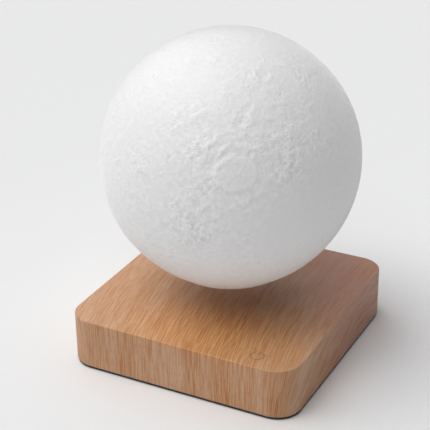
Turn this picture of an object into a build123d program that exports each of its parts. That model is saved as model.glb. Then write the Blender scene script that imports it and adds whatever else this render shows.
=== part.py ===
from build123d import *
from math import asin, cos, degrees, radians, sin, sqrt
import os

# All lengths are in millimetres. The lamp stands on z = 0 with its centre on the Z axis.
# Its front is towards -Y, and the power inlet is in the rear wall, towards +Y.

# Wooden block of the base
base_width = 143.0
base_corner_radius = 15.0
wood_wall = 8.0
wood_top_thickness = 3.5
pocket_chamfer = 22.0

# Black bottom plate, and the rubber feet let into it
plate_lip = 0.9
plate_inset = 0.4
spigot_height = 1.5
spigot_clearance = 0.3
standoff_height = 6.0
standoff_radius = 3.0
foot_proud = 0.5
foot_radius = 5.0
foot_recess = 1.0
foot_inset = 23.5
foot_clearance = 0.1

# Screws: each length is counted from the seat of the head
screw_clearance = 0.1
screw_end_gap = 1.0
cover_screw_radius = 1.5
cover_screw_head_radius = 2.8
cover_screw_head_height = 0.8
cover_screw_recess = 0.45
cover_screw_length = 12.0
cover_screw_inset = 13.5
inner_screw_radius = 1.0
inner_screw_head_radius = 1.9
inner_screw_head_height = 1.4
inner_screw_length = 6.0
cap_screw_head_height = 1.0
cap_screw_recess = 1.2
cap_screw_length = 3.4

# Levitation stack on the main board: ring magnet, four electromagnets and their sensors.
# The ring leaves a strip of the board free for the small parts, and the coils fill its bore.
# Its width is a share of its own radius, and a core's radius and the space between two coils
# are shares of a coil's radius.
edge_strip_width = 15.5
ring_width_share = 0.323
ring_height = 12.0
coil_count = 4
coil_spacing_share = 0.573
coil_clearance = 1.5
coil_height = 12.0
core_radius_share = 0.3
core_clearance = 0.2
core_proud = 1.5
sensor_board_margin = 0.7
sensor_board_chamfer = 10.0
sensor_board_thickness = 1.0
sensor_width = 4.0
sensor_depth = 3.0
sensor_spread = 5.5
stack_clearance = 3.0

# Transmitter coil of the lamp's power, flat on the ring magnet
transmitter_width = 10.0
transmitter_thickness = 2.2
lead_radius = 0.6
lead_clearance = 0.1
transmitter_lead_angle = 6.0

# Main board and what is soldered to it
board_thickness = 1.6
board_clearance = 1.5
transistor_width = 6.5
transistor_depth = 6.0
transistor_height = 2.3
transistor_pitch = 12.0
transistor_count = 4
electrolytic_radius = 4.0
electrolytic_height = 10.0
electrolytic_pitch = 12.0
electrolytic_count = 2
chip_width = 9.0
chip_height = 1.2
choke_width = 9.5
choke_height = 5.0
edge_row_inset = 6.0
side_part_offset = 12.0

# Power inlet
socket_width = 9.0
socket_length = 12.6
socket_height = 11.0
socket_bore_radius = 3.15
socket_bore_depth = 9.5
socket_pin_radius = 1.0
socket_pin_length = 8.5
socket_wall_gap = 0.3
inlet_radius = 5.5

# Touch switch, under its mark near the front edge of the top
touch_from_front = 11.0
touch_from_right = 25.2
touch_recess_radius = 7.5
touch_pad_radius = 4.5
touch_pad_thickness = 0.3
touch_board_width = 9.0
touch_board_thickness = 1.2
touch_lead_inset = 1.1

# Moon: a thin printed ball with sunk craters and a flat mouth underneath
moon_radius = 75.0
moon_wall = 1.8
levitation_gap = 19.2
mouth_rim = 2.0
lip_width = 7.0
lip_thickness = 3.0
moon_gores = 48
crown_flat_drop = 0.15
hollow_sides = 24
hollow_levels = 12
hollow_top_angle = 83.0

# Latitude and longitude of each crater in degrees, and its radius as a share of the moon's.
# Longitude is counted from +X towards +Y. The first is the large basin that faces front.
crater_shares = [
    (18.6, -60.1, 0.173),
    (34.4, -64.3, 0.064),
    (29.7, -48.8, 0.058),
    (-4.7, -73.6, 0.070),
    (10.0, -100.6, 0.078),
    (-17.8, -90.3, 0.084),
    (46.0, -18.0, 0.092),
    (54.0, -112.0, 0.110),
    (14.0, -14.0, 0.072),
    (22.0, 62.0, 0.150),
    (-12.0, 104.0, 0.098),
    (42.0, 140.0, 0.120),
    (-9.0, 163.0, 0.132),
    (-30.0, 30.0, 0.105),
]
crater_depth = 0.6

# Bottom cap of the moon, with the cup of the floating magnet and the posts of the light board
cap_thickness = 2.0
cap_clearance = 0.3
cap_screw_from_lip = 2.2
float_radius = 19.0
float_height = 8.0
float_clearance = 0.3
cup_wall = 1.2
post_radius = 2.0
post_count = 3
post_angle = 30.0
cap_screw_angle = 90.0

# Receiver coil round the cup, and the light board over it
receiver_clearance = 0.2
receiver_width = 2.4
receiver_height = 6.0
receiver_lead_angle = 8.0
light_board_margin = 0.2
light_board_clearance = 0.5
light_board_thickness = 1.6
led_count = 8
led_width = 3.5
led_height = 1.0
led_circle_radius = 14.0
rectifier_width = 5.0
rectifier_height = 1.6
storage_radius = 3.0
storage_height = 5.5
centre_part_offset = 4.5

# Flat sides of round pieces that repeat or are out of sight, and the overrun of cuts
small_sides = 8
coil_sides = 14
ring_sides = 32
cut_overrun = 1.0

# Heights of the base, from the table up: the wood closes over the tallest part of the stack
wood_bottom = foot_proud + plate_lip
plate_top = wood_bottom + spigot_height
board_bottom = plate_top + standoff_height
board_top = board_bottom + board_thickness
ring_top = board_top + ring_height
core_top = board_top + coil_height + core_proud
stack_top = max(core_top + sensor_board_thickness, ring_top + transmitter_thickness)
pocket_top = stack_top + stack_clearance
base_top = pocket_top + wood_top_thickness

# Widths and places in the base, from the outside in
pocket_width = base_width - 2 * wood_wall
board_width = pocket_width - 2 * board_clearance
ring_outer_radius = pocket_width / 2 - edge_strip_width
ring_inner_radius = ring_outer_radius * (1 - ring_width_share)
transmitter_inner_radius = ring_outer_radius - transmitter_width
coil_space_radius = ring_inner_radius - coil_clearance
half_step_sine = sin(radians(180 / coil_count))
coil_outer_radius = 2 * coil_space_radius * half_step_sine / (2 + 2 * half_step_sine + coil_spacing_share)
coil_circle_radius = coil_space_radius - coil_outer_radius
core_radius = coil_outer_radius * core_radius_share
sensor_board_width = 2 * (coil_circle_radius + core_radius + sensor_board_margin)
foot_place = base_width / 2 - foot_inset
cover_screw_seat = foot_proud + cover_screw_recess
cover_screw_place = base_width / 2 - cover_screw_inset
edge_row = board_width / 2 - edge_row_inset
touch_x = base_width / 2 - touch_from_right
touch_y = touch_from_front - base_width / 2
touch_board_bottom = pocket_top - touch_pad_thickness - touch_board_thickness
socket_end = pocket_width / 2 - socket_wall_gap
socket_axis_height = board_top + socket_height / 2

# From the floating magnet outwards: cup, receiver coil, posts, light board, lip and mouth
cup_radius = float_radius + float_clearance
receiver_inner_radius = cup_radius + cup_wall + receiver_clearance
receiver_outer_radius = receiver_inner_radius + receiver_width
post_circle_radius = receiver_outer_radius + receiver_clearance + post_radius
light_board_radius = post_circle_radius + post_radius + light_board_margin
lip_inner_radius = light_board_radius + light_board_clearance
cap_screw_circle_radius = lip_inner_radius + cap_screw_from_lip
mouth_radius = lip_inner_radius + lip_width

mouth_drop = sqrt(moon_radius**2 - mouth_radius**2)
mouth_height = base_top + levitation_gap
moon_height = mouth_height + mouth_drop
cap_top = mouth_height + cap_thickness
lip_top = cap_top + lip_thickness
cup_depth = float_height + 2 * float_clearance
light_board_bottom = cap_top + cup_depth
light_board_top = light_board_bottom + light_board_thickness

STANDING = (Align.CENTER, Align.CENTER, Align.MIN)


# Shapes that several pieces share


def disc(radius, height):
    """A round bar that stands on z = 0."""
    return Cylinder(radius, height, align=STANDING)


def flat_sided(radius, height, sides):
    """A bar of many flat sides that stands on z = 0, inside a round one of that radius."""
    return extrude(RegularPolygon(radius, sides), height)


def ring(outer_radius, inner_radius, height):
    """A ring of many flat sides that stands on z = 0."""
    bore = flat_sided(inner_radius, height, ring_sides)
    return flat_sided(outer_radius, height, ring_sides) - bore


def block(width, depth, height):
    """A block that stands on z = 0, centred on the Z axis."""
    return Box(width, depth, height, align=STANDING)


def chamfered_plate(width, chamfer_length, thickness):
    """A square plate with its four corners cut off, standing on z = 0."""
    outline = Rectangle(width, width)
    return extrude(chamfer(outline.vertices(), chamfer_length), thickness)


def rounded_plate(width, radius, thickness):
    """A square plate with round corners, standing on z = 0."""
    return extrude(RectangleRounded(width, width, radius), thickness)


def at_corners(place, height):
    """The four places at plus and minus place, at one height."""
    return [Pos(x, y, height) for x in (-place, place) for y in (-place, place)]


def on_circle(radius, count, height, start_angle):
    """Places evenly spaced on a circle about the Z axis."""
    step = 360 / count
    return [Rot(0, 0, start_angle + i * step) * Pos(radius, 0, height) for i in range(count)]


def screw(radius, length, head_radius, head_height):
    """A screw that points up, with the seat of its head at z = 0."""
    head = flat_sided(head_radius, head_height, small_sides)
    return flat_sided(radius, length, small_sides) + Pos(0, 0, -head_height) * head


def screw_hole(radius, depth):
    """The hole of a screw or of its head, going up from z = 0."""
    return flat_sided(radius + screw_clearance, depth, small_sides)


def inner_screw():
    """A small screw that points down, with the seat of its head at z = 0."""
    return Rot(180, 0, 0) * screw(
        inner_screw_radius, inner_screw_length, inner_screw_head_radius, inner_screw_head_height
    )


def inner_screw_hole(depth):
    """The hole that an inner screw goes down into, from z = 0."""
    return Rot(180, 0, 0) * screw_hole(inner_screw_radius, depth)


def lead(height):
    """A short upright wire that stands on z = 0."""
    return flat_sided(lead_radius, height, small_sides)


# Pieces of the base


def base_housing():
    """The wooden block: milled out from below, solid at the corners for the screws."""
    outside = rounded_plate(base_width, base_corner_radius, base_top - wood_bottom)
    wood = Pos(0, 0, wood_bottom) * outside
    pocket_depth = pocket_top - wood_bottom
    wood -= Pos(0, 0, wood_bottom) * chamfered_plate(pocket_width, pocket_chamfer, pocket_depth)
    touch_recess = flat_sided(touch_recess_radius, pocket_depth, coil_sides)
    wood -= Pos(touch_x, touch_y, wood_bottom) * touch_recess
    for place in at_corners(cover_screw_place, cover_screw_seat):
        wood -= place * screw_hole(cover_screw_radius, cover_screw_length + screw_end_gap)
    inlet_length = wood_wall + 2 * cut_overrun
    inlet = Rot(-90, 0, 0) * disc(inlet_radius, inlet_length)
    return wood - Pos(0, pocket_width / 2 - cut_overrun, socket_axis_height) * inlet


def bottom_plate():
    """The moulded cover: a thin lip under the wood, a spigot in the pocket, and standoffs."""
    lip_width = base_width - 2 * plate_inset
    plate = rounded_plate(lip_width, base_corner_radius - plate_inset, plate_lip)
    spigot_width = pocket_width - 2 * spigot_clearance
    spigot = chamfered_plate(spigot_width, pocket_chamfer, spigot_height)
    plate = Pos(0, 0, foot_proud) * plate + Pos(0, 0, wood_bottom) * spigot
    for place in at_corners(foot_place, plate_top):
        plate += place * flat_sided(standoff_radius, standoff_height, small_sides)
    for place in at_corners(foot_place, board_bottom):
        plate -= place * inner_screw_hole(inner_screw_length - board_thickness + screw_end_gap)
    for place in at_corners(foot_place, foot_proud):
        plate -= place * flat_sided(foot_radius + foot_clearance, foot_recess, coil_sides)
    for place in at_corners(cover_screw_place, foot_proud):
        plate -= place * screw_hole(cover_screw_radius, plate_lip)
        plate -= place * screw_hole(cover_screw_head_radius, cover_screw_recess)
    return plate


def rubber_feet():
    """Four round feet, glued into the plate's recesses."""
    foot = flat_sided(foot_radius, foot_proud + foot_recess, coil_sides)
    return [place * foot for place in at_corners(foot_place, 0)]


def cover_screws():
    """Four thin-headed screws through the plate into the wooden corners."""
    cover_screw = screw(
        cover_screw_radius, cover_screw_length, cover_screw_head_radius, cover_screw_head_height
    )
    return [place * cover_screw for place in at_corners(cover_screw_place, cover_screw_seat)]


def main_board():
    """The circuit board on the plate's standoffs."""
    board = Pos(0, 0, board_bottom) * chamfered_plate(board_width, pocket_chamfer, board_thickness)
    for place in at_corners(foot_place, board_top):
        board -= place * inner_screw_hole(board_thickness)
    return board


def board_screws():
    """Four screws that hold the main board."""
    return [place * inner_screw() for place in at_corners(foot_place, board_top)]


def ring_magnet():
    """The ferrite ring that carries the moon."""
    return Pos(0, 0, board_top) * ring(ring_outer_radius, ring_inner_radius, ring_height)


def electromagnet_coils():
    """Four coils of bonded wire inside the ring, which keep the moon centred."""
    bore = flat_sided(core_radius + core_clearance, coil_height, coil_sides)
    coil = flat_sided(coil_outer_radius, coil_height, coil_sides) - bore
    return [place * coil for place in on_circle(coil_circle_radius, coil_count, board_top, 0)]


def electromagnet_cores():
    """The steel core of each coil, standing a little proud of it."""
    core = flat_sided(core_radius, coil_height + core_proud, small_sides)
    return [place * core for place in on_circle(coil_circle_radius, coil_count, board_top, 0)]


def sensor_board():
    """The small board that lies on the four cores."""
    board = chamfered_plate(sensor_board_width, sensor_board_chamfer, sensor_board_thickness)
    return Pos(0, 0, core_top) * board


def hall_sensors():
    """Three field sensors under the middle of their board, between the coils."""
    sensor = block(sensor_width, sensor_depth, core_proud)
    places = [(0, 0), (sensor_spread, 0), (0, sensor_spread)]
    return [Pos(x, y, core_top - core_proud) * sensor for x, y in places]


def transmitter_coil():
    """The flat coil on the ring that sends power up to the moon."""
    return Pos(0, 0, ring_top) * ring(ring_outer_radius, transmitter_inner_radius, transmitter_thickness)


def transmitter_leads():
    """Both ends of the transmitter coil, going down outside the ring to the board."""
    radius = ring_outer_radius + lead_clearance + lead_radius
    wire = Pos(radius, 0, board_top) * lead(ring_height + transmitter_thickness)
    return [Rot(0, 0, angle) * wire for angle in (-transmitter_lead_angle, transmitter_lead_angle)]


def power_transistors():
    """The transistors that drive the coils, in a row along the front edge of the board."""
    body = block(transistor_width, transistor_depth, transistor_height)
    start = -transistor_pitch * transistor_count / 2
    return [Pos(start + i * transistor_pitch, -edge_row, board_top) * body for i in range(transistor_count)]


def filter_capacitors():
    """Two electrolytic capacitors by the left edge of the board."""
    can = flat_sided(electrolytic_radius, electrolytic_height, coil_sides)
    rows = range(electrolytic_count)
    return [Pos(-edge_row, side_part_offset + i * electrolytic_pitch, board_top) * can for i in rows]


def control_chip():
    """The controller, by the right edge of the board."""
    return Pos(edge_row, side_part_offset, board_top) * block(chip_width, chip_width, chip_height)


def choke_inductor():
    """The choke of the power stage, by the left edge of the board."""
    return Pos(-edge_row, -side_part_offset, board_top) * block(choke_width, choke_width, choke_height)


def dc_socket():
    """The power socket on the rear edge of the board, with a round bore for the plug."""
    place = Pos(0, socket_end - socket_length / 2, board_top)
    bore = Rot(90, 0, 0) * disc(socket_bore_radius, socket_bore_depth)
    body = place * block(socket_width, socket_length, socket_height)
    return body - Pos(0, socket_end, socket_axis_height) * bore


def socket_pin():
    """The pin in the middle of the socket's bore."""
    pin = Rot(-90, 0, 0) * flat_sided(socket_pin_radius, socket_pin_length, small_sides)
    return Pos(0, socket_end - socket_bore_depth, socket_axis_height) * pin


def touch_pad():
    """The copper pad against the underside of the wood, below the touch mark."""
    pad = flat_sided(touch_pad_radius, touch_pad_thickness, coil_sides)
    return Pos(touch_x, touch_y, pocket_top - touch_pad_thickness) * pad


def touch_board():
    """The small board that carries the touch pad."""
    board = block(touch_board_width, touch_board_width, touch_board_thickness)
    return Pos(touch_x, touch_y, touch_board_bottom) * board


def touch_lead():
    """The wire that stands between the main board and the touch board."""
    inset = touch_board_width / 2 - touch_lead_inset
    return Pos(touch_x - inset, touch_y + inset, board_top) * lead(touch_board_bottom - board_top)


# Pieces of the moon


def gored_ball(radius):
    """A ball made like a paper globe, of gores that bend over it from the mouth to the crown.

    It is what many round bars have in common that lie through the middle, each turned a
    little from the last. The crown ends in a tiny flat. At a seam between two gores the
    surface stands a small part of a millimetre out of round.
    """
    height = radius - crown_flat_drop + mouth_drop
    ball = Pos(0, 0, -mouth_drop) * block(2 * radius, 2 * radius, height)
    bar = Rot(90, 0, 0) * Cylinder(radius, 4 * radius)
    for i in range(moon_gores // 2):
        ball &= Rot(0, 0, i * 360 / moon_gores) * bar
    return ball


def crater_column(latitude, longitude, radius_share):
    """A round bar from the middle of the moon out through one crater."""
    turn = Rot(0, 0, longitude) * Rot(0, 90 - latitude, 0)
    return turn * disc(radius_share * moon_radius, moon_radius + cut_overrun)


def moon_hollow():
    """The space inside the shade, with flat facets that touch a ball of its inner radius."""
    inner_radius = moon_radius - moon_wall
    low_angle = degrees(asin((lip_top - moon_height) / inner_radius))
    rise = (hollow_top_angle - low_angle) / hollow_levels
    rings = []
    for level in range(hollow_levels + 1):
        angle = low_angle + level * rise
        polygon = RegularPolygon(inner_radius * cos(radians(angle)), hollow_sides)
        rings.append(Pos(0, 0, inner_radius * sin(radians(angle))) * polygon)
    corners = [[Vector(corner) for corner in ring.vertices()] for ring in rings]
    facets = [rings[0].face(), rings[-1].face()]
    for low, high in zip(corners, corners[1:]):
        for i in range(hollow_sides):
            facets.append(Face(Wire.make_polygon([low[i - 1], low[i], high[i], high[i - 1]])))
    return Solid(Shell(facets))


def cap_screw_places(height):
    """The places of the cap's screws at one height."""
    return on_circle(cap_screw_circle_radius, post_count, height, cap_screw_angle)


def post_places(height):
    """The places of the light board's posts at one height."""
    return on_circle(post_circle_radius, post_count, height, post_angle)


def moon_shade():
    """The translucent ball: cratered outside, hollow inside, with a lip in its mouth.

    The floors of the craters lie on a slightly smaller ball inside the gored one.
    """
    shade = gored_ball(moon_radius) - [crater_column(*row) for row in crater_shares]
    floors = Sphere(moon_radius - crater_depth)
    floors -= Pos(0, 0, -mouth_drop - moon_radius) * block(2 * moon_radius, 2 * moon_radius, moon_radius)
    shade = Pos(0, 0, moon_height) * (shade + floors - moon_hollow())
    shade -= Pos(0, 0, mouth_height) * flat_sided(mouth_radius - mouth_rim, cap_thickness, ring_sides)
    lip_bore = flat_sided(lip_inner_radius, cap_thickness + lip_thickness, ring_sides)
    shade -= Pos(0, 0, mouth_height) * lip_bore
    for place in cap_screw_places(cap_top):
        shade -= place * screw_hole(inner_screw_radius, lip_thickness)
    return shade


def bottom_cap():
    """The disc in the moon's mouth, with the magnet's cup and three posts inside."""
    cap = flat_sided(mouth_radius - mouth_rim - cap_clearance, cap_thickness, ring_sides)
    cup = ring(cup_radius + cup_wall, cup_radius, cup_depth)
    cap = Pos(0, 0, mouth_height) * cap + Pos(0, 0, cap_top) * cup
    for place in post_places(cap_top):
        cap += place * flat_sided(post_radius, cup_depth, small_sides)
    for place in post_places(light_board_bottom):
        cap -= place * inner_screw_hole(inner_screw_length - light_board_thickness + screw_end_gap)
    for place in cap_screw_places(mouth_height):
        cap -= place * screw_hole(inner_screw_radius, cap_thickness)
        cap -= place * screw_hole(inner_screw_head_radius, cap_screw_recess)
    return cap


def cap_screws():
    """Three screws through the cap into the lip of the shade."""
    cap_screw = screw(
        inner_screw_radius, cap_screw_length, inner_screw_head_radius, cap_screw_head_height
    )
    return [place * cap_screw for place in cap_screw_places(mouth_height + cap_screw_recess)]


def float_magnet():
    """The magnet that floats over the ring, loose in its cup so that the moon turns about it."""
    magnet = flat_sided(float_radius, float_height, ring_sides)
    return Pos(0, 0, cap_top + float_clearance) * magnet


def receiver_coil():
    """The coil round the cup that takes up power from the base."""
    return Pos(0, 0, cap_top) * ring(receiver_outer_radius, receiver_inner_radius, receiver_height)


def receiver_leads():
    """Both ends of the receiver coil, going up to the light board."""
    radius = (receiver_inner_radius + receiver_outer_radius) / 2
    wire = Pos(0, radius, cap_top + receiver_height) * lead(cup_depth - receiver_height)
    return [Rot(0, 0, angle) * wire for angle in (-receiver_lead_angle, receiver_lead_angle)]


def light_board():
    """The round board on the cup and the posts."""
    board = flat_sided(light_board_radius, light_board_thickness, ring_sides)
    board = Pos(0, 0, light_board_bottom) * board
    for place in post_places(light_board_top):
        board -= place * inner_screw_hole(light_board_thickness)
    return board


def light_board_screws():
    """Three screws through the light board into the posts."""
    return [place * inner_screw() for place in post_places(light_board_top)]


def leds():
    """The ring of white lamps on the light board."""
    led = block(led_width, led_width, led_height)
    return [place * led for place in on_circle(led_circle_radius, led_count, light_board_top, 0)]


def rectifier_chip():
    """The rectifier in the middle of the light board."""
    chip = block(rectifier_width, rectifier_width, rectifier_height)
    return Pos(-centre_part_offset, 0, light_board_top) * chip


def storage_capacitor():
    """The capacitor that smooths the light, beside the rectifier."""
    can = flat_sided(storage_radius, storage_height, coil_sides)
    return Pos(centre_part_offset, 0, light_board_top) * can


PIECES = [
    base_housing, bottom_plate, rubber_feet, cover_screws,
    main_board, board_screws, ring_magnet, electromagnet_coils, electromagnet_cores,
    sensor_board, hall_sensors, transmitter_coil, transmitter_leads,
    power_transistors, filter_capacitors, control_chip, choke_inductor,
    dc_socket, socket_pin, touch_pad, touch_board, touch_lead,
    moon_shade, bottom_cap, cap_screws, float_magnet, receiver_coil, receiver_leads,
    light_board, light_board_screws, leds, rectifier_chip, storage_capacitor,
]

os.makedirs("parts", exist_ok=True)
for piece in PIECES:
    solids = piece()
    if isinstance(solids, list):
        solids = Compound(children=solids)
    export_step(solids, f"parts/{piece.__name__}.step")
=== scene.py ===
"""Looks of a levitating lamp: a cratered white moon that floats over a square wooden base.

Shapes are worked out in millimetres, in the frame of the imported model, and become metres when
they are put into a mesh. The sizes of finishes are in metres, and colours are linear. The grain of
the wood follows a UV map in metres.
"""

import logging
import math
from dataclasses import dataclass, field
from enum import Enum
from functools import cache
from itertools import product
from typing import Iterable, Sequence

import bpy
import numpy as np
from mathutils import Matrix, Vector


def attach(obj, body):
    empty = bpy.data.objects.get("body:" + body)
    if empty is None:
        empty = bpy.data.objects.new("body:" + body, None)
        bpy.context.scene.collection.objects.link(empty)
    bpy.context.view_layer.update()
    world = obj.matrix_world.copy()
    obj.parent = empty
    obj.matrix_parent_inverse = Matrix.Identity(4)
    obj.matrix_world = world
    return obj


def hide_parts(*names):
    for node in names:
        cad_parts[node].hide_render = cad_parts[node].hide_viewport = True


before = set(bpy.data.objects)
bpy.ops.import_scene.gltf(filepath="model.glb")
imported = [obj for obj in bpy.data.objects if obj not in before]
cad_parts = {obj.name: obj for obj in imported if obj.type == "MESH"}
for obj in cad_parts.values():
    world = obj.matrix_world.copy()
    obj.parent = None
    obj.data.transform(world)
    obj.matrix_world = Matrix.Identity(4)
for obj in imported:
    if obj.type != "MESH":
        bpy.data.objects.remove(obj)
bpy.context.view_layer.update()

MILLIMETRE = 0.001
FULL_TURN = 2 * math.pi

Colour = tuple[float, float, float]

log = logging.getLogger("levitating_lamp")


# Shapes as arrays


@dataclass
class Form:
    """A closed shape as arrays, in millimetres.

    Attributes:
        points: One row of x, y and z per point.
        quads: One row of four point numbers per four-sided face.
        triangles: One row of three point numbers per triangle.
    """

    points: np.ndarray
    quads: np.ndarray
    triangles: np.ndarray

    @classmethod
    def through(cls, rings: np.ndarray, tips: np.ndarray | None = None) -> "Form":
        """A skin through a stack of closed rings.

        Each ring is joined to the next by a band of quads, and a fan of triangles closes each end.

        Args:
            rings: Points by level, place around and axis.
            tips: The two end points, where they aren't the middles of the end rings.

        Returns:
            The closed form, with its faces outwards.
        """
        levels, around, _ = rings.shape
        count = levels * around
        number = np.arange(count).reshape(levels, around)
        low, high = number[:-1], number[1:]
        quads = np.stack([low, np.roll(low, -1, 1), np.roll(high, -1, 1), high], -1).reshape(-1, 4)
        if tips is None:
            tips = np.array([rings[0].mean(0), rings[-1].mean(0)])
        bottom = np.stack([np.full(around, count), np.roll(number[0], -1), number[0]], -1)
        top = np.stack([np.full(around, count + 1), number[-1], np.roll(number[-1], -1)], -1)
        points = np.vstack([rings.reshape(-1, 3), tips])
        return cls(points, quads, np.vstack([bottom, top])).outward()

    @classmethod
    def turned(cls, profile: np.ndarray, sides: int) -> "Form":
        """A profile turned about the Z axis.

        Args:
            profile: Rows of radius and height, from one end on the axis to the other.
            sides: Number of points around.

        Returns:
            The closed form.
        """
        ring = level(circle(1.0, sides), 0)
        tips = np.array([[0, 0, profile[0, 1]], [0, 0, profile[-1, 1]]])
        return cls.through(swept(profile[1:-1], ring), tips)

    @classmethod
    def bar(cls, outline: np.ndarray, low: float, high: float) -> "Form":
        """An upright bar over a flat outline, between two heights."""
        return cls.through(np.stack([level(outline, height) for height in (low, high)]))

    @classmethod
    def joined(cls, forms: Iterable["Form"]) -> "Form":
        """Several forms as one set of arrays.

        Args:
            forms: The forms to join.

        Returns:
            One form that holds them all, with their faces renumbered.
        """
        forms = list(forms)
        starts = np.cumsum([0] + [len(form.points) for form in forms])
        return cls(
            np.vstack([form.points for form in forms]),
            np.vstack([form.quads + start for form, start in zip(forms, starts)]),
            np.vstack([form.triangles + start for form, start in zip(forms, starts)]),
        )

    def outward(self) -> "Form":
        """Turns the faces outwards, if the volume that they enclose comes out below zero.

        Returns:
            The same form.
        """
        halves = np.vstack([self.quads[:, :3], self.quads[:, [0, 2, 3]], self.triangles])
        a, b, c = (self.points[halves[:, i]] for i in range(3))
        if np.einsum("ij,ij->", a, np.cross(b, c)) < 0:
            self.quads, self.triangles = self.quads[:, ::-1], self.triangles[:, ::-1]
        return self

    def placed(self, place: Matrix) -> "Form":
        """A copy of the form, turned and moved.

        Args:
            place: The matrix that turns and moves it, in millimetres.

        Returns:
            The copy.
        """
        turn = np.array(place.to_3x3())
        shift = np.array(place.translation)
        return Form(self.points @ turn.T + shift, self.quads, self.triangles)

    def at(self, x: float, y: float, z: float) -> "Form":
        """A copy of the form, moved."""
        return self.placed(Matrix.Translation((x, y, z)))

    def mesh(self, name: str) -> bpy.types.Mesh:
        """The form as a mesh, in metres.

        Args:
            name: The name of the mesh.

        Returns:
            The mesh.
        """
        mesh = bpy.data.meshes.new(name)
        faces = self.quads.tolist() + self.triangles.tolist()
        mesh.from_pydata((self.points * MILLIMETRE).tolist(), [], faces)
        mesh.update()
        return mesh


def put(name: str, data: bpy.types.ID) -> bpy.types.Object:
    """Puts a new object into the scene.

    Args:
        name: Its name.
        data: Its mesh, light or camera.

    Returns:
        The object.
    """
    thing = bpy.data.objects.new(name, data)
    bpy.context.scene.collection.objects.link(thing)
    return thing


def swept(profile: np.ndarray, ring: np.ndarray) -> np.ndarray:
    """The rings of a profile turned about Z: each (r, z) becomes r times a flat ring, lifted to z.

    Args:
        profile: Rows of radius and height.
        ring: Points at distance 1 from the Z axis, with z = 0.

    Returns:
        Points by level, place around and axis.
    """
    return profile[:, 0, None, None] * ring + profile[:, 1, None, None] * np.array([0, 0, 1])


def eased(
    corners: Sequence[tuple[float, float]], eases: Sequence[float] | float, steps: int = 4
) -> np.ndarray:
    """A profile with rounded corners.

    Each inner corner is replaced by a quadratic curve that starts and ends a given distance from
    it, on its two sides. The first and last points stay.

    Args:
        corners: The corners of the open profile.
        eases: The distance for each inner corner, or one for all.
        steps: Pieces of each curve.

    Returns:
        Rows of points.
    """
    points = np.array(corners, float)
    before, corner, after = points[:-2], points[1:-1], points[2:]
    reach = np.broadcast_to(np.array(eases, float), len(corner))[:, None]
    start = corner + reach * (before - corner) / np.linalg.norm(before - corner, axis=1, keepdims=True)
    end = corner + reach * (after - corner) / np.linalg.norm(after - corner, axis=1, keepdims=True)
    t = np.linspace(0, 1, steps + 1)[None, :, None]
    curve = (1 - t) ** 2 * start[:, None] + 2 * t * (1 - t) * corner[:, None] + t**2 * end[:, None]
    return np.vstack([points[:1], curve.reshape(-1, 2), points[-1:]])


def circle(radius: float, sides: int) -> np.ndarray:
    """The outline of a circle about the origin."""
    angle = np.arange(sides) * FULL_TURN / sides
    return radius * np.column_stack([np.cos(angle), np.sin(angle)])


def level(outline: np.ndarray, height: float) -> np.ndarray:
    """A flat outline laid at one height."""
    return np.column_stack([outline, np.full(len(outline), height)])


def cross_outline(length: float, width: float) -> np.ndarray:
    """The outline of a cross of two equal bars, counted anticlockwise.

    One arm's three corners are turned by a quarter turn at a time.

    Args:
        length: Length of a bar.
        width: Width of a bar.

    Returns:
        Rows of points.
    """
    near, far = width / 2, length / 2
    arm = np.array([(far, -near), (far, near), (near, near)])
    turns = [np.array([[c, -s], [s, c]]) for c, s in ((1, 0), (0, 1), (-1, 0), (0, -1))]
    return np.vstack([arm @ turn.T for turn in turns])


def four_corners(place: float, height: float) -> list[Matrix]:
    """The four places at plus and minus one distance in x and y."""
    return [Matrix.Translation((x, y, height)) for x, y in product((-place, place), repeat=2)]


def round_places(radius: float, count: int, height: float, start: float) -> list[Matrix]:
    """Places evenly spaced round the Z axis, each turned to face outwards; start is in degrees."""
    angles = [math.radians(start) + i * FULL_TURN / count for i in range(count)]
    return [Matrix.Rotation(angle, 4, "Z") @ Matrix.Translation((radius, 0, height)) for angle in angles]


# Noise for the relief of the moon


class LatticeNoise:
    """Smooth noise: random values on a cubic lattice, blended by a smooth step between them.

    TABLE is how many random values there are, and is a power of two.
    """

    TABLE = 256

    def __init__(self, seed: int) -> None:
        """Draws the random values, and the order in which the lattice reads them.

        Args:
            seed: The seed of the draw.
        """
        draw = np.random.default_rng(seed)
        self.order = draw.permutation(self.TABLE)
        self.values = draw.uniform(-1, 1, self.TABLE)

    def at(self, points: np.ndarray, cell: float) -> np.ndarray:
        """The noise at each point, from -1 to 1.

        A lattice corner's value is looked up by x, y and z in turn, each counted round the table.

        Args:
            points: Rows of points.
            cell: Width of a lattice cell, in the unit of the points.

        Returns:
            One value per point.
        """
        corner = np.floor(points / cell).astype(int)
        share = points / cell - corner
        share = share * share * (3 - 2 * share)
        total = np.zeros(len(points))
        last = self.TABLE - 1
        for step in product((0, 1), repeat=3):
            x, y, z = (corner + step).T & last
            value = self.values[self.order[(self.order[(self.order[x] + y) & last] + z) & last]]
            total += value * np.prod(np.where(step, share, 1 - share), axis=1)
        return total

    def octaves(self, points: np.ndarray, cell: float, count: int, fade: float) -> np.ndarray:
        """A sum of noises, each of half the cell and fade times the height of the last."""
        return sum(fade**i * self.at(points, cell / 2**i) for i in range(count))


# Node trees


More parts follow.
